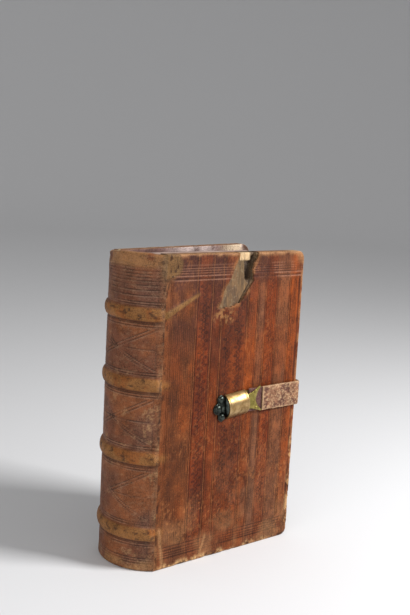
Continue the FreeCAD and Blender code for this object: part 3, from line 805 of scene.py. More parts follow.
def cover_skin(name, front):
    """The leather of one cover, as face grid and edge rings, torn open in front."""
    wide = width if front else back_width
    pitch = front_pitch if front else back_pitch
    xs = grid_lines(0.0, wide - face_inset, pitch, fillet_columns)
    zs = grid_lines(face_inset, height - face_inset, pitch, fillet_levels)
    gx, gz = np.meshgrid(xs, zs)
    way = cover_rings()
    rings = [ring_points(xs, zs, inset, wide, corner if front else knocked_corner)
             for inset, down in way]
    x = np.concatenate([gx.ravel()] + [ring[:, 0] for ring in rings])
    z = np.concatenate([gz.ravel()] + [ring[:, 1] for ring in rings])
    depth = np.concatenate([np.zeros(gx.size)] + [np.full(len(rings[0]), down) for inset, down in way])
    faces = grid_faces(len(zs), len(xs)) + grid_faces(len(way), len(rings[0]), gx.size, flip=True)
    near = np.minimum(np.minimum(wide - x, z), height - z)
    rise = cover_height(x, z, front) * step(near, 0.0, 2.5) * step(x, 0.0, 1.6)
    rise = rise * (depth < grain_depth)
    # knocks along the edges, deepest near the tail of the fore-edge
    worn = knock_depth * patches(x + depth, z, 4.0, 41, 0.52, 0.8, 4) * step(near, knock_reach, 0.0)
    worn = worn * (0.5 + 0.9 * step(z, 60.0, 6.0)) * (depth < knock_low)
    pull_x = np.where(wide - x < knock_reach, worn, 0.0)
    pull_z = np.where(z < knock_reach, worn, 0.0)
    pull_z = pull_z - np.where(height - z < knock_reach, 0.6 * worn, 0.0)
    pull_z = pull_z * step(x, 0.5, 4.0) * (z > 0.0)
    sunk = 0.0
    if not front:
        sunk = head_slope * (1 - x / wide) * step(z, height - 20.0, height - 7.0)
    y = (face - depth + rise) * (-1 if front else 1)
    points = np.stack([x - pull_x, y, np.clip(z - sunk + pull_z, 0.0, height)], 1)
    tint = cover_tint(x, z, near, front)
    cover_edges(tint, x, z, depth, wide)
    if front:
        faces = torn_open(faces, x, np.where(depth > soft_edge, -0.5, height - z), depth)
    else:
        faces = [f[::-1] for f in faces]
    return weld(mesh_piece(name, points, faces, tint.colour))


front_leather = cover_skin("front_leather", True)
back_leather = cover_skin("back_leather", False)
dress(front_leather, cover_finish, "front_cover", "cover_leather", "front_cover_leather")
dress(back_leather, cover_finish, "back_cover", "cover_leather", "back_cover_leather")

# %% [markdown]
# ## The torn edge
# A hole cut in a sheet has no thickness. Its border is pushed in to the wood, which
# shows the leather's pale fibre side all round the tear.

# %% Thickness at the tear
torn_fibre = (150, 110, 78)
border_reach, border_down = 2.0, 34.0


def thicken_border(thing, depth_mm):
    """Pulls the open border inside the cover down to the wood."""
    low_x = (joint_x + tear[:, 0].min() - border_reach) * MM
    high_x = (joint_x + tear[:, 0].max() + border_reach) * MM
    low_z, outer_y = (height - border_down) * MM, (middle_y - inner_face - 1.0) * MM
    with opened(thing) as work:
        layer = work.verts.layers.float_color["tint"]
        border = [e for e in work.edges if e.is_boundary and all(
            low_x < v.co.x < high_x and v.co.z > low_z and v.co.y < outer_y for v in e.verts)]
        made = bmesh.ops.extrude_edge_only(work, edges=border)["geom"]
        for vert in (g for g in made if isinstance(g, bmesh.types.BMVert)):
            vert.co.y += depth_mm * MM
            vert[layer] = (*linear(*torn_fibre), 1.0)
        rim = [g for g in made if isinstance(g, bmesh.types.BMFace)]
        bmesh.ops.recalc_face_normals(work, faces=rim)
    print("border faces:", len(rim))


thicken_border(front_leather, face - wood_face)

# %% [markdown]
# ## The bare wood
# The board under the tear has dry grain, a deep split that runs down into a fine
# crack, and a broken pale block at the head. A grid that is fine under the tear and
# coarse elsewhere keeps the whole board small.

# %% Front board with its split
board_square = 1.0
tear_low_x, tear_high_x, tear_low_z = 32.0, 66.0, 134.0
tear_pitch = 0.38
split_depth, crack_depth, block_rise, hollow_depth = 3.6, 1.2, 0.35, 1.8
wood_allowance = 0.45
wood_back = inner_face + 0.5


def front_wood():
    """The front board, with its split, its broken block and a hollow beside it."""
    xs = np.unique(np.concatenate([
        np.linspace(0.0, tear_low_x, 9), np.arange(tear_low_x, tear_high_x, tear_pitch),
        np.linspace(tear_high_x, width - board_square, 9)]))
    zs = np.unique(np.concatenate([
        np.linspace(board_square, tear_low_z, 14),
        np.arange(tear_low_z, height - board_square, tear_pitch), [height - board_square]]))
    gx, gz = np.meshgrid(xs, zs)
    down = height - gz
    grain = 0.55 * (noise(gx * 3.0, gz, 9.0, 51, 4) - 0.5) + 0.25 * (noise(gx, gz, 1.2, 52) - 0.5)
    gap = np.where(inside_outline(gx, down, split), step(edge_distance(gx, down, split), 0.0, 1.1), 0.0)
    gap = gap * step(down, 17.5, 14.0) * step(down, 1.2, 2.6)
    crack = line(edge_distance(gx, down, crack_line), 0.0, 0.7) * step(down, 12.0, 15.0)
    block = step(gx, 48.6, 49.4) * step(gx, 57.2, 56.2) * step(down, 4.6, 3.8)
    hollow = step(np.hypot((gx - 58.8) / 3.0, (down - 3.0) / 4.5), 1.0, 0.6) * (1 - block)
    gap = gap * (1 - block)
    rise = grain * 0.8 - split_depth * gap - crack_depth * crack + block_rise * block
    rise = np.maximum(rise - hollow_depth * hollow, -4.0)
    y = -(wood_face + np.minimum(rise, wood_allowance))
    lifted = 0.85 * step(gx, 49.0, 50.0) * step(gx, 62.5, 61.5) * (gz > height - 1.2)
    front_points = np.stack([gx.ravel(), y.ravel(), (gz + lifted).ravel()], 1)
    back_points = front_points.copy()
    back_points[:, 1] = -wood_back
    faces = grid_faces(len(zs), len(xs))
    count = len(front_points)
    faces += [tuple(count + v for v in f[::-1]) for f in faces]
    index = np.arange(count).reshape(gx.shape)
    rim = np.concatenate([index[0], index[1:, -1], index[-1, -2::-1], index[-2:0:-1, 0]]).tolist()
    faces += [(a, count + a, count + b, b) for a, b in zip(rim, rim[1:] + rim[:1])]
    tint = Tint(gx.shape, (120, 86, 48))
    tint.wash((150, 112, 66), patches(gx * 2, gz, 12.0, 53, 0.45, 0.7))
    tint.wash((80, 54, 30), 0.7 * patches(gx * 3, gz, 5.0, 54, 0.50, 0.70))
    tint.wash((84, 66, 30), 0.6 * step(gx, 47.0, 50.0) * step(down, 26.0, 6.0))
    # painted shade: the split, the crack and the hollow beside the block are darkened, as shade falls in
    # them
    tint.wash((40, 22, 10), np.maximum(gap, crack) * 0.95)
    tint.wash((62, 38, 20), 0.7 * hollow)
    tint.wash((214, 180, 134), 0.95 * block)
    tone = tint.colour.reshape(-1, 3)
    return mesh_piece("front_board_wood", np.concatenate([front_points, back_points]), faces,
                      np.concatenate([tone, tone]))


dress(outward(front_wood()), wood_finish, "front_cover", "board_wood", "front_board")

# %% [markdown]
# ## The spine's leather
# The spine is part of a round, bent about one upright axis. A point on it is an
# angle about that axis and a height, and its distance from the axis is what the
# bands, the cords' tie-down creases and the tooling change. A flat sheet with a bend
# modifier would work too, but this way shape and tint share one set of measures.

# %% Round of the spine
leather_over = face - wood_face
lining = 0.6
outer_bulge = leather_over - book_box("spine_lining_1")[0][0]
spine_radius = (face ** 2 + outer_bulge ** 2) / (2 * outer_bulge)
axis_x = spine_radius - outer_bulge
half_angle = math.asin(face / spine_radius)
half_arc = spine_radius * half_angle
cord_low, cord_high = extent("sewing_cord_1", 2)
cord_radius = (cord_high - cord_low) / 2
pages_radius = spine_radius - leather_over - lining
band_height = cord_radius + leather_over - (spine_radius - pages_radius) - 0.45
band_half = cord_radius + 1.3
print("spine radius", round(spine_radius, 2), "half angle", round(math.degrees(half_angle), 1))


def band_profile(z):
    """How far the raised bands stand out of the round: a low arch with a crease at its foot."""
    rise = np.zeros_like(z)
    for level in band_levels:
        away = np.abs(z - level)
        arch = band_height * np.maximum(1 - (away / band_half) ** 2, 0.0) ** 0.62
        rise = rise + arch - 0.30 * line(away, band_half + 0.25, 0.9)
    return rise


# %% Blind lines on the spine
spine_line = 0.42
spine_head_lines = (5.5, 7.2, 8.9, 10.6, 12.3, 14.0, 16.2, 18.6, 21.4)
spine_tail_lines = [4.4, 5.8, 7.2]
band_lines = [level + off for level in band_levels for off in (-6.3, -5.0, 5.0, 6.3)]
cross_reach = half_arc - 5.0
panel_gap = 7.4


def spine_lines(arc, z):
    """Blind lines: close ones beside bands and at head and tail, and crosses between bands."""
    wander = 0.5 * (noise(arc, z * 0, 16.0, 72) - 0.5)
    pressed = [lines(z, band_lines, spine_line),
               lines(z - wander, [height - down for down in spine_head_lines], 0.40),
               lines(z, spine_tail_lines, 0.40),
               0.7 * lines(arc, (-cross_reach - 1.2, cross_reach + 1.2), spine_line)]
    for high, low in zip(band_levels, band_levels[1:]):
        top, bottom = high - panel_gap, low + panel_gap
        t = (z - bottom) / (top - bottom)
        inside = between(z, bottom + 0.25, top - 0.25, 0.25)
        slope = math.cos(math.atan(2 * cross_reach / (top - bottom)))
        for centre in (cross_reach * (2 * t - 1), cross_reach * (1 - 2 * t)):
            pressed.append(lines((arc - centre) * slope, (-0.8, 0.8), spine_line) * inside)
        pressed.append(line(z, (top + bottom) / 2, spine_line)
                       * step(np.abs(arc), cross_reach + 1, cross_reach - 1))
    return np.max(pressed, axis=0) * (0.3 + 0.7 * patches(arc, z, 9.0, 61, 0.28, 0.55))


# %% Tint of the spine
def spine_tint(arc, z):
    """The spine is greyer than the covers and rubbed to ochre on the bands and caps, with painted
    highlights beside its blind lines and a painted shadow under each band.
    """
    dark, rubbed = (50, 28, 20), (180, 132, 84)
    fillets = spine_lines(arc, z)
    on_band = step(band_profile(z), 0.15, 1.1)
    off_band = 1 - on_band
    rim = half_arc - np.abs(arc)
    tint = Tint(np.shape(z), (124, 74, 50))
    tint.wash((144, 84, 48), patches(arc, z, 13.0, 62, 0.42, 0.66))
    tint.wash((100, 72, 60), 0.5 * patches(arc, z, 24.0, 63, 0.5, 0.7))
    # painted highlight: a pale line just below each blind line, on its ridge
    tint.wash((168, 134, 110), 0.40 * spine_lines(arc, z + 0.55) * (1 - fillets))
    tint.wash(dark, 0.92 * fillets)
    tint.wash((154, 104, 54), 0.88 * on_band)
    tint.wash((150, 80, 28), 0.6 * on_band * patches(arc, z, 6.0, 75, 0.50, 0.66))
    top = step(band_profile(z), 1.3, 2.3)
    tint.wash(rubbed, 0.55 * top * patches(arc, z, 4.0, 64, 0.35, 0.6))
    tint.wash(dark, 0.7 * on_band * patches(arc * 0.6, z, 1.7, 65, 0.60, 0.70, 4))
    # painted shadow: a dark line just under each raised band
    for level in band_levels:
        tint.wash((30, 16, 12), 0.8 * line(z, level - band_half - 0.2, 0.9))
    ends = np.maximum(step(height - z, 8.5, 5.5), step(z, 7.0, 4.0))
    tint.wash(rubbed, 0.6 * ends * patches(arc, z, 6.0, 66, 0.3, 0.55))
    tint.wash(joint_brown, 0.6 * step(rim, 5.0, 0.5) * off_band)
    rubbed_head = step(rim, 5.0, 1.0) * step(z, height - 16.0, height - 9.0) * (arc < 0)
    tint.wash(bare, 0.8 * rubbed_head)
    tint.wash(dark, 0.8 * rubbed_head * patches(arc * 1.4, z, 2.2, 55, 0.55, 0.66, 4))
    tint.wash(dust, 0.25 * step(rim, 3.4, 0.8) * patches(arc, z, 5.0, 38, 0.35, 0.6, 4))
    tint.wash(dark, 0.75 * step(rim, 2.2, 0.6) * patches(arc * 2, z, 4.0, 46, 0.52, 0.64, 4))
    tint.wash((168, 128, 96), 0.28 * patches(arc, z * 2.2, 2.2, 67, 0.59, 0.72, 4) * off_band)
    scuff = patches(arc, z, 7.0, 73, 0.60, 0.70, 4)
    scuff = scuff * patches(arc * 2.5, z * 2.5, 2.4, 74, 0.46, 0.60, 4)
    tint.wash((184, 140, 96), 0.55 * scuff * step(z, 118.0, 96.0) * off_band)
    return tint.colour.reshape(-1, 3)


# %% The spine's mesh
cap_turn = 1.2
cap_insets = (4.6, 3.4, 2.3)


spine_columns, spine_pitch = 115, 0.55
line_depth = 0.18


def spine_skin():
    """The sheet over the spine, with caps that turn in at head and tail."""
    arcs = np.linspace(-half_arc, half_arc, spine_columns)
    marks = band_lines + [height - down for down in spine_head_lines] + spine_tail_lines
    zs = grid_lines(cap_turn, height - cap_turn, spine_pitch, marks)
    low = [(0.0, inset) for inset in cap_insets]
    low += [(cap_turn * (1 - math.cos(a)), cap_turn * (1 - math.sin(a)))
            for a in np.radians((15, 40, 65))]
    rows = low + [(z, 0.0) for z in zs] + [(height - z, inset) for z, inset in low[::-1]]
    levels, insets = np.array(rows).T
    arc, z = np.meshgrid(arcs, levels)
    inset = np.repeat(insets[:, None], len(arcs), 1)
    rise = band_profile(z) - line_depth * spine_lines(arc, z)
    rise = rise + 0.55 * (noise(arc, z, 18.0, 68) - 0.5) + 0.18 * (noise(arc, z, 2.6, 69) - 0.5)
    cap_wear = step(z, height - 6.0, height - 2.0) * patches(arc, z, 5.0, 70, 0.45, 0.7)
    rise = (rise - 0.5 * cap_wear) * step(half_arc - np.abs(arc), 0.0, 2.6)
    radius = spine_radius + np.where(inset > 0, 0.0, rise) - inset
    angle = arc / spine_radius
    x = np.minimum(axis_x - radius * np.cos(angle), 0.0)
    dip = 0.5 * patches(arc, z * 0 + 3.0, 9.0, 71, 0.45, 0.75) * (z > height - 1.0)
    dip = dip + head_slope * step(arc, -4.0, 20.0) * step(z, height - 12.0, height - 2.0)
    points = np.stack([x.ravel(), (radius * np.sin(angle)).ravel(), (z - dip).ravel()], 1)
    return mesh_piece("spine_sheet", points, grid_faces(len(levels), len(arcs), flip=True),
                      spine_tint(arc, z))


dress(spine_skin(), spine_finish, "text_block", "spine_leather", "spine_leather")

# %% [markdown]
# ## Pages
# The text block is a stack of leaves. Its rounded back, hollow fore-edge and flat
# head and tail are one loop that is swept through the thickness, leaf by leaf. Each
# bundle of leaves stands a little higher or lower than the next. Separate thin
# leaves would look the same from here and weigh a hundred times as much.

# %% Text block
fore_hollow = 6.0
bundles = 131
shoulder_rows = 9
row_gap = 0.02


def text_pages():
    """The stack of leaves; outside the fore-edge's width only the rounded back goes on."""
    (back_x, fore_x), _, (square, _) = book_box("text_block")
    shoulder = (extent("text_block", 1)[1] - extent("text_block", 1)[0]) / 2
    outer = np.linspace(block_half + row_gap, shoulder, shoulder_rows)
    rows = np.concatenate([-outer[::-1], np.linspace(-block_half, block_half, bundles), outer])
    jitter = np.random.default_rng(3).random((len(rows), 3))
    fore_radius = (block_half ** 2 + fore_hollow ** 2) / (2 * fore_hollow)
    along, up = np.linspace(0, 1, 13), np.linspace(0, 1, 41)
    points = []
    for y, (a, b, c) in zip(rows, jitter):
        start = axis_x - math.sqrt(max((pages_radius - page_gap) ** 2 - y ** 2, 0.0))
        start = min(max(start, back_x), -page_gap)
        if abs(y) > block_half:
            start, end = min(start, -2 * page_gap), -page_gap
        else:
            hollow = math.sqrt(fore_radius ** 2 - y ** 2) - (fore_radius - fore_hollow)
            end = fore_x - hollow - 0.35 * a - setback * (y / block_half + 1) / 2
        tail, head = square + 0.22 * b, height - square - 0.35 * c
        across = start + (end - start) * along
        rise = tail + (head - tail) * up
        ripple = 0.25 * (noise(np.full(len(up), y * 3.0), rise, 9.0, 81) - 0.5)
        dips = 0.3 * noise(across, np.full(len(along), y * 2.0), 14.0, 82)
        points += [(x, y, tail) for x in across]
        points += [(end + shift, y, z) for shift, z in zip(ripple[1:], rise[1:])]
        points += [(x, y, head - dip) for x, dip in zip(across[-2::-1], dips[-2::-1])]
        points += [(start, y, z) for z in rise[-2:0:-1]]
    faces = swept_faces(len(rows), len(points) // len(rows))
    return mesh_piece("pages", points, faces, smooth_shade=False)


dress(outward(text_pages()), page_finish, "text_block", "pages", "text_block")

# %% [markdown]
# ## The strap
# Two layers of thick leather, laid one on the other, run from the back cover round
# the fore-edge to the clasp. A layer is a ribbon: a small closed outline that is
# swept along the strap's way. The long edges wander, since the leather is worn, and
# that is why no even curve with a bevel is used.

# %% The strap's way
layer = 0.8
bend = 1.0
# the strap lies flatter on the cover past the clasp
pressed_flat, flat_from, flat_to = 0.5, 92.0, 72.0
outer_start = 69.5
(strap_tip, strap_edge), (strap_out, strap_back), (strap_low, strap_high) = book_box("clasp_strap")
strap_mid = (strap_low + strap_high) / 2
front_in, back_in, edge_in = -strap_out - 2 * layer, strap_back - 2 * layer, strap_edge - 2 * layer
hinge = (edge_in - bend, -front_in + bend)
swing = (edge_in - setback - bend, back_in - bend)
tail_start = book_box("strap_anchor_plate")[0][0] - 2.0


def beside(y):
    """How far the strap stands in from its front run, on its way to the narrower back cover."""
    return setback * min(max((y + wood_inner) / (2 * wood_inner), 0.0), 1.0)


def bent(centre, radius, start):
    """A quarter turn: places with their outward directions."""
    return [(centre[0] + radius * math.cos(a), centre[1] + radius * math.sin(a), math.cos(a), math.sin(a))
            for a in np.linspace(start, start + math.pi / 2, 9)]


def front_way(offset, start_x):
    """From the clasp round the front bend to the middle of the fore-edge."""
    low_y = hinge[1] + pressed_flat
    way = [(x, -front_in - offset + pressed_flat * float(step(np.array(x), flat_to, flat_from)), 0, -1)
           for x in np.arange(start_x, hinge[0], 0.5)]
    way += bent((hinge[0], low_y), bend + offset, -math.pi / 2)
    way += [(edge_in + offset - beside(y), y, 1, 0) for y in np.linspace(low_y, 0, 24)[1:]]
    return np.array(way)


def back_way(offset, start_x):
    """From the middle of the fore-edge round the back bend to the anchor plate."""
    way = [(edge_in + offset - beside(y), y, 1, 0) for y in np.linspace(0, swing[1], 24)[:-1]]
    way += bent(swing, bend + offset, 0.0)
    way += [(x, back_in + offset, 0, 1) for x in np.linspace(swing[0], start_x, 26)[1:]]
    return np.array(way)


# %% Ribbons along the way
cream, raw, worn_dark, plum = (186, 150, 114), (144, 100, 74), (86, 50, 42), (92, 58, 58)
ribbon_points = 33
lip_length = 1.5


def ribbon(way, narrow, seed, lip):
    """A closed ribbon round its middle line; lip is the side of its cut, paler end."""
    t = np.linspace(-1, 1, ribbon_points)
    steps = np.r_[0, np.cumsum(np.hypot(*np.diff(way[:, :2], axis=0).T))]
    half = (strap_high - strap_low) / 2 - narrow
    side = np.maximum(1 - np.abs(t) ** 14, 0.0)
    points, tints = [], []
    for (x, y, nx, ny), s in zip(way, steps):
        run = np.full(ribbon_points, s)
        top = half - 0.7 * noise(np.array(s), np.array(5.0), 4.0, seed, 4)
        bottom = -half + 0.8 * noise(np.array(s), np.array(9.0), 3.4, seed + 1, 4)
        z = strap_mid + bottom + (top - bottom) * (t + 1) / 2
        fray = 0.22 * (noise(run, z, 1.4, seed + 2, 4) - 0.5)
        fray = fray + 0.20 * (noise(run, z, 5.0, seed + 3) - 0.5)
        outer, inner = (layer / 2 + fray) * side, -(layer / 2) * side
        for lift, level in ((outer, z), (inner[::-1], z[::-1])):
            points += [(x + nx * h, y + ny * h, zz) for h, zz in zip(lift, level)]
            tint = Tint((ribbon_points,), raw)
            tint.wash(worn_dark, 0.85 * patches(run, level, 3.4, seed + 4, 0.46, 0.60, 4))
            tint.wash(cream, 0.8 * patches(run, level * 1.5, 1.0, seed + 5, 0.50, 0.62, 4))
            tint.wash(cream, 0.8 * step(np.abs(t), 0.84, 0.97))
            if lip:
                tint.wash(cream, 0.95 * step(run, lip_length, 0.4))
            else:
                tint.wash(plum, 0.9 * step(np.full(ribbon_points, x), flat_to, 69.0))
            tints.append(tint.colour)
    return np.array(points), swept_faces(len(way), 2 * ribbon_points), np.concatenate(tints)


def joined(name, parts):
    """Several meshes' points, faces and tints in one object."""
    starts = np.cumsum([0] + [len(points) for points, faces, tint in parts])
    faces = [tuple(start + v for v in face)
             for start, part in zip(starts.tolist(), parts) for face in part[1]]
    return outward(mesh_piece(name, np.concatenate([part[0] for part in parts]), faces,
                              np.concatenate([part[2] for part in parts])))


edge_wear = 0.35
inner_layer, outer_layer = 0.5 * layer, 1.5 * layer
front_strap = joined("strap_front", [
    ribbon(front_way(inner_layer, strap_tip), edge_wear, 91, False),
    ribbon(front_way(outer_layer, outer_start), 0.0, 95, True)])
back_strap = joined("strap_tail", [
    ribbon(back_way(inner_layer, tail_start), edge_wear, 101, False),
    ribbon(back_way(outer_layer, tail_start), 0.0, 105, False)])
for thing in (front_strap, back_strap):
    thing.data.materials.append(strap_finish)
    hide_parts("clasp_strap")
    print(thing.name, len(thing.data.polygons), "faces")


# %% A place on the strap, and the straps' transforms applied
def at(x, y):
    """A place in the middle of the strap's width, in the frame's metres."""
    return tuple(placed([[x, y, strap_mid]])[0])


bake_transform(front_strap)
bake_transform(back_strap)

# %% [markdown]
# ## The brass clasp
# The clasp's barrel is a half-round of sheet brass with a rolled lip at each end.
# Its profile runs along x and is swept over an arc, as a smith rolls it. A fishtail
# plate leaves its waist and lies on the strap. A small bevel catches the light.

# %% Barrel
hasp_start, barrel_length, barrel_half = 43.5, 14.5, 7.1
barrel_end = hasp_start + barrel_length
barrel_low = face + 0.3
barrel_rise = -book_box("hasp")[1][0] - barrel_low
barrel_radius = (barrel_half ** 2 + barrel_rise ** 2) / (2 * barrel_rise)
barrel_drop = barrel_radius - barrel_rise
barrel_sheet = 0.8
barrel_lip = [(0.0, -0.30), (0.05, -0.05), (0.25, 0.02), (0.75, 0.0), (1.15, -0.16), (1.5, -0.2)]


def on_barrel(radius, angle):
    """The y and z of a place on a round about the barrel's axis."""
    return -(barrel_low + radius * math.cos(angle) - barrel_drop), strap_mid + radius * math.sin(angle)


def barrel():
    """The half-round barrel: its profile along x, swept over the arc, with small dents."""
    profile = [(hasp_start + x, dr) for x, dr in barrel_lip]
    profile += [(x, -0.2) for x in np.linspace(hasp_start + 2.5, barrel_end - 2.5, 9)]
    profile += [(barrel_end - x, dr) for x, dr in barrel_lip[::-1]]
    profile += [(x, -barrel_sheet) for x in (barrel_end, barrel_end - 4, hasp_start + 4, hasp_start)]
    span = math.asin(barrel_half / barrel_radius)
    sweep = np.linspace(-span, span, 41)
    points = []
    for a in sweep:
        for x, dr in profile:
            dent = 0.10 * float(noise(np.array(x), np.array(a * barrel_radius), 5.0, 111) - 0.5)
            points.append((x, *on_barrel(barrel_radius + dr + dent * (dr > -0.7), a)))
    return np.array(points), swept_faces(len(sweep), len(profile))


def half_round_plate(x, thick, shrink):
    """A D-shaped plate across the barrel."""
    radius = barrel_radius - shrink
    span = math.acos(min(1.0, (barrel_drop + 0.02) / radius))
    ring = [on_barrel(radius, a) for a in np.linspace(-span, span, 25)]
    return slab([(x, y, z) for y, z in ring], [(x + thick, y, z) for y, z in ring])


# %% Fishtail plate
fish_tip = 68.5
fish_thick = 0.6
# half of its outline, as places past the barrel's end and before the tip, with half widths
fish_waist = [(-0.6, 4.5), (0.6, 4.35), (2.0, 4.3), (3.6, 4.6), (5.6, 5.3), (7.8, 6.25)]
fish_fork = [(1.2, 7.0), (0.3, 7.25), (0.0, 7.0), (0.1, 6.5),
             (1.7, 4.9), (2.9, 3.1), (3.7, 1.4), (4.0, 0.0)]


def plate(outline, low_y, thick):
    """A flat plate from an outline of x and z, standing out from low_y."""
    return slab([(x, low_y, z) for x, z in outline], [(x, low_y - thick, z) for x, z in outline])


def fishtail():
    """The tail's outline: one half to the middle of its notch, then the same half mirrored."""
    half = [(barrel_end + x, z) for x, z in fish_waist] + [(fish_tip - x, z) for x, z in fish_fork]
    return [(x, strap_mid + z) for x, z in half] + [(x, strap_mid - z) for x, z in half[-2::-1]]


# %% The clasp in one
rivet_x = 64.6
clasp_lean = math.radians(6.0)
edge_round, round_above = 0.12, 50


def leaned(points):
    """The clasp sits a little askew: it is turned in the cover's plane about its rivets."""
    out = np.array(points, float)
    x, z = out[:, 0] - rivet_x, out[:, 2] - strap_mid
    out[:, 0] = rivet_x + x * math.cos(clasp_lean) - z * math.sin(clasp_lean)
    out[:, 2] = strap_mid + x * math.sin(clasp_lean) + z * math.cos(clasp_lean)
    return out


def soften(thing):
    """Rounds the sharp edges of a metal piece."""
    bevel = thing.modifiers.new("soft_edges", "BEVEL")
    bevel.width = edge_round * MM
    bevel.segments = 2
    bevel.limit_method = "ANGLE"
    bevel.angle_limit = math.radians(round_above)
    bevel.harden_normals = False
    return applied(thing)


def cast(name, parts):
    """Metal parts in one object, leaned, with no tint of their own."""
    return joined(name, [(leaned(points), faces, np.ones((len(points), 3))) for points, faces in parts])


wall = half_round_plate(barrel_end - barrel_sheet, 0.6, 0.25)
brass = soften(cast("clasp_brass", [barrel(), wall]))
tail_plate = soften(cast("fishtail_plate", [plate(fishtail(), -(front_in + layer), fish_thick)]))
dress(brass, brass_finish, "hasp", "clasp_brass", "hasp")
dress(tail_plate, olive_finish, "hasp", "clasp_brass", "hasp")

# %% [markdown]
# ## The catch
# The catch is a small cast plate with three knobs, two beside and one in front, and
# a tongue that goes under the barrel. A knob is a profile that is turned about its
# own axis, as on a lathe.

# %% Turned knobs
lobe_x, knob_x, lobe_side = 40.7, 38.2, 4.9
foot = 0.8
tongue_length, tongue_half = 9.0, 4.0


def turned(x, z, profile, count=32):
    """A profile of radius and height, turned about an axis that stands out from the cover."""
    angles = [2 * math.pi * k / count for k in range(count)]
    points = [(x + radius * math.cos(a), -face - rise, z + radius * math.sin(a))
              for radius, rise in profile for a in angles]
    return np.array(points), swept_faces(len(profile), count)


def knob(x, z, radius, rise):
    """A knob on a low foot with a small groove round its dome."""
    dome = [((radius - 0.45) * math.cos(a), foot + rise * math.sin(a))
            for a in np.radians(np.arange(0, 89, 8))]
    base = [(radius, 0.0), (radius, 0.62), (radius - 0.14, foot), (radius - 0.34, 0.72)]
    return turned(x, z, base + dome + [(0.05, foot + rise)])


tongue = [(x, strap_mid + z) for x, z in (
    (knob_x, -tongue_half), (lobe_x + tongue_length, -tongue_half),
    (lobe_x + tongue_length, tongue_half), (knob_x, tongue_half))]
catch = cast("catch", [
    knob(knob_x, strap_mid, 3.0, 1.65),
    knob(lobe_x, strap_mid - lobe_side, 2.5, 1.35),
    knob(lobe_x, strap_mid + lobe_side, 2.5, 1.35),
    plate(tongue, -face, foot),
    half_round_plate(hasp_start + 0.3, 0.8, barrel_sheet + 0.3)])
dress(catch, dark_metal_and_shade_finish, "front_cover", "catch_iron", "catch_plate")

# %% [markdown]
# ## Studs and wound thread with Geometry Nodes
# Nails and rivets repeat, and so do the turns of thread on an endband. Each is made
# once in a node tree and put on many points. The tree's named inputs set its size,
# so one tree serves every nail here.

# %% Node trees
def node_tree(name, numbers):
    """A node tree with named number inputs and a material input."""
    tree = bpy.data.node_groups.new(name, "GeometryNodeTree")
    floats = [(label, "Float") for label in numbers]
    for label, kind in [("Geometry", "Geometry"), *floats, ("Finish", "Material")]:
        tree.interface.new_socket(label, in_out="INPUT", socket_type="NodeSocket" + kind)
    tree.interface.new_socket("Geometry", in_out="OUTPUT", socket_type="NodeSocketGeometry")
    return tree, tree.nodes.new("NodeGroupInput").outputs


def realized(tree, given, instances):
    """Ends a tree: its instances become real mesh with smooth shading and a finish."""
    real = add_node(tree, "GeometryNodeRealizeInstances", {"Geometry": instances}, "Geometry")
    shade = add_node(tree, "GeometryNodeSetShadeSmooth", {"Geometry": real}, "Geometry")
    coat = add_node(tree, "GeometryNodeSetMaterial",
                    {"Geometry": shade, "Material": given["Finish"]}, "Geometry")
    tree.links.new(coat, tree.nodes.new("NodeGroupOutput").inputs["Geometry"])
    return tree


def stud_tree():
    """A flattened ball on each point."""
    tree, given = node_tree("studs", ("Head Radius", "Head Height"))
    ball = add_node(tree, "GeometryNodeMeshUVSphere", {"Segments": 24, "Rings": 12, "Radius": 1.0}, "Mesh")
    size = add_node(tree, "ShaderNodeCombineXYZ", {
        "X": given["Head Radius"], "Y": given["Head Height"], "Z": given["Head Radius"]}, "Vector")
    spread = add_node(tree, "GeometryNodeInstanceOnPoints", {
        "Points": given["Geometry"], "Instance": ball, "Scale": size}, "Instances")
    return realized(tree, given, spread)


def winding_tree():
    """Rings of thread, closely side by side along a line."""
    tree, given = node_tree("winding", ("Core Radius", "Thread Radius", "Pitch"))
    path = add_node(tree, "GeometryNodeMeshToCurve", {"Mesh": given["Geometry"]}, "Curve")
    even = add_node(tree, "GeometryNodeResampleCurve",
                    {"Curve": path, "Length": given["Pitch"]}, "Curve", mode="LENGTH")
    ring = add_node(tree, "GeometryNodeCurvePrimitiveCircle",
                    {"Resolution": 14, "Radius": given["Core Radius"]}, "Curve")
    section = add_node(tree, "GeometryNodeCurvePrimitiveCircle",
                       {"Resolution": 6, "Radius": given["Thread Radius"]}, "Curve")
    turn = add_node(tree, "GeometryNodeCurveToMesh", {"Curve": ring, "Profile Curve": section}, "Mesh")
    tangent = add_node(tree, "GeometryNodeInputTangent", {}, "Tangent")
    facing = add_node(tree, "FunctionNodeAlignRotationToVector", {"Vector": tangent}, "Rotation")
    spread = add_node(tree, "GeometryNodeInstanceOnPoints", {
        "Points": even, "Instance": turn, "Rotation": facing}, "Instances")
    return realized(tree, given, spread)


def grown(name, tree, points, edges, finish, **inputs):
    """Runs a node tree on some points and keeps the mesh that it makes."""
    mesh = bpy.data.meshes.new(name + "_points")
    mesh.from_pydata([tuple(p) for p in placed(points)], edges, [])
    thing = shown(name, mesh)
    modifier = thing.modifiers.new("nodes", "NODES")
    modifier.node_group = tree
    sockets = {s.name: s.identifier for s in tree.interface.items_tree if s.in_out == "INPUT"}
    for label, value in inputs.items():
        modifier[sockets[label.replace("_", " ").title()]] = value * MM
    modifier[sockets["Finish"]] = finish
    return applied(thing)


studs, winding = stud_tree(), winding_tree()

# %% Rivets and nails
rivet_names = ["hasp_rivet_1", "hasp_rivet_2"]
nail_names = ["anchor_nail_1", "anchor_nail_2", "anchor_nail_3"]


def heads(name, nodes, end, sink, finish, radius, rise):
    """A head on each node's outer end, sunk a little, so that only its dome shows."""
    centres = []
    for node in nodes:
        x_ends, y_ends, z_ends = book_box(node)
        centres.append((sum(x_ends) / 2, y_ends[end] + sink, sum(z_ends) / 2))
    return grown(name, studs, centres, [], finish, head_radius=radius, head_height=rise)


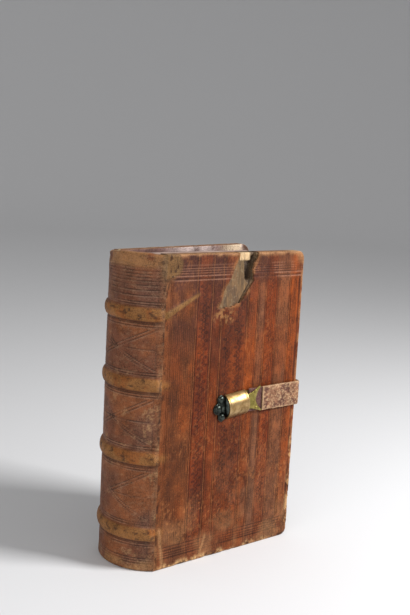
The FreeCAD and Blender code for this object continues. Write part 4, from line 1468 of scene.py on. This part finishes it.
rivets = heads("hasp_rivets", rivet_names, 0, 0.65, olive_finish, 1.15, 0.6)
nails = heads("anchor_nails", nail_names, 1, -0.72, dark_metal_and_shade_finish, 1.5, 0.7)
stands_for(rivets, "hasp", "rivet_brass", *rivet_names)
stands_for(nails, "back_cover", "catch_iron", *nail_names)

# %% [markdown]
# ## Cords and endbands
# The sewing cords lie under the raised bands, and an endband stands at head and
# tail. Each is thread, wound closely on an arc about the spine's axis. A true spiral
# would do, but separate rings of a few faces look the same and are lighter.

# %% Wound thread on arcs
arc_points = 40


def wound(name, radius, level, span, core, fibre, pitch):
    """Thread wound round an arc about the spine's axis."""
    arc = [(axis_x - radius * math.cos(a), radius * math.sin(a), level)
           for a in np.linspace(-span, span, arc_points)]
    edges = [(i, i + 1) for i in range(arc_points - 1)]
    return grown(name, winding, arc, edges, cord_finish, core_radius=core - fibre,
                 thread_radius=fibre, pitch=pitch)


for number, level in enumerate(band_levels, start=1):
    cord = wound(f"wound_cord_{number}", pages_radius, level, half_angle - 0.20,
                 cord_radius - 0.15, 0.35, 0.8)
    stands_for(cord, "text_block", "sewing_cord", f"sewing_cord_{number}")

for name in ("head_endband", "tail_endband"):
    (x0, _), (y0, y1), (z0, z1) = book_box(name)
    core = (z1 - z0) / 2
    radius = axis_x - x0 - core
    span = math.asin(min(0.999, ((y1 - y0) / 2 - 0.2) / radius))
    band = wound(name + "_thread", radius, (z0 + z1) / 2, span, core - 0.02, 0.2, 0.36)
    stands_for(band, "text_block", "endband_thread", name)

# %% [markdown]
# ## The back board and the solids that stay
# The back board is never bare, so a plain plate with two round corners does. The
# pastedowns, linings, cord ends and small plates are well shaped as solids. They
# stay as they are and only get a finish.

# %% Back board and kept solids
fore_x, head_z = back_width - knocked_corner, height - knocked_corner
back_outline = [(0.0, board_square)]
for centre_x, centre_z, radius, start in ((back_width - corner, corner, corner - board_square, -90),
                                          (fore_x, head_z, knocked_corner - board_square, 0)):
    back_outline += [(centre_x + radius * math.cos(a), centre_z + radius * math.sin(a))
                     for a in np.radians(np.linspace(start, start + 90, 9))]
back_outline += [(0.0, height - board_square - head_slope)]
points, faces = plate(back_outline, wood_face, wood_face - wood_back)
wood_tone = np.tile(linear(150, 116, 80), (len(points), 1))
back_wood = outward(mesh_piece("back_board_wood", points, faces, wood_tone, False))
dress(back_wood, wood_finish, "back_cover", "board_wood", "back_board")

kept = {"pastedown": pastedown_finish, "slip": cord_finish, "lining": lining_finish,
        "hasp_back_plate": olive_finish, "strap_anchor_plate": brass_finish,
        "catch_nail": dark_metal_and_shade_finish}
for name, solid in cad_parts.items():
    for part, finish in kept.items():
        if part in name:
            solid.data.materials.clear()
            solid.data.materials.append(finish)

# %% [markdown]
# ## Stage and camera
# The camera looks from the left and from a little above, as in the photograph. One
# soft lamp from the right, a weaker one from the left and a pale room light the
# leather plainly, so its colours look as they are written.

# %% Camera
camera_data = bpy.data.cameras.new("camera")
camera = shown("camera", camera_data)
bpy.context.scene.camera = camera
camera_data.sensor_fit = "AUTO"
camera_data.sensor_width = 36.0
# focal length, place and directions were fitted to the book's straight edges
camera_data.lens = 56.2
camera_data.clip_start, camera_data.clip_end = 0.01, 20.0
camera_place = placed([[-294.8, -face - 377.3, 215.9]])[0]
forward = Vector((0.640, 0.753, -0.152)).normalized()
overhead = Vector((0.058, 0.151, 0.987)).normalized()
up = (overhead - forward * forward.dot(overhead)).normalized()
facing = Matrix((forward.cross(up), up, -forward)).transposed().to_4x4()
camera.matrix_world = Matrix.Translation(Vector(camera_place)) @ facing
bpy.context.scene.view_settings.view_transform = "Standard"


# %% Lamps and world
def lamp(name, place_mm, size_mm, power):
    """A soft square lamp that faces the book's middle."""
    data = bpy.data.lights.new(name, "AREA")
    data.shape = "SQUARE"
    data.size = size_mm * MM
    data.energy = power
    made = shown(name, data)
    made.location = Vector(place_mm) * MM
    aim = Vector((0, 0, height / 2 * MM)) - made.location
    made.rotation_euler = aim.to_track_quat("-Z", "Y").to_euler()


lamp("key_lamp", (420, -560, 620), 260, 10.5)
lamp("fill_lamp", (-620, -320, 300), 500, 1.5)

world = bpy.data.worlds.new("studio")
bpy.context.scene.world = world
world.use_nodes = True
world.node_tree.nodes["Background"].inputs["Color"].default_value = (1.0, 1.0, 1.0, 1.0)
world.node_tree.nodes["Background"].inputs["Strength"].default_value = 0.38


# %% Floor
def studio_floor():
    """A wide flat floor whose rim curves up far behind the book, so no horizon shows."""
    flat, turn_up, count = 2.2, 1.0, 96
    profile = [(0.001, 0.0), (flat, 0.0)]
    profile += [(flat + turn_up * math.sin(a), turn_up * (1 - math.cos(a)))
                for a in np.radians(np.arange(6, 91, 6))]
    angles = [2 * math.pi * k / count for k in range(count)]
    points = [(r * math.cos(a), r * math.sin(a), z) for r, z in profile for a in angles]
    mesh = bpy.data.meshes.new("floor")
    mesh.from_pydata(points, [], grid_faces(len(profile), count, close=True))
    mesh.polygons.foreach_set("use_smooth", [True] * len(mesh.polygons))
    made = shown("floor", mesh)
    made.data.materials.append(Graph("pale_floor").finish((0.72, 0.72, 0.73), 0.8))
    return made


studio_floor()
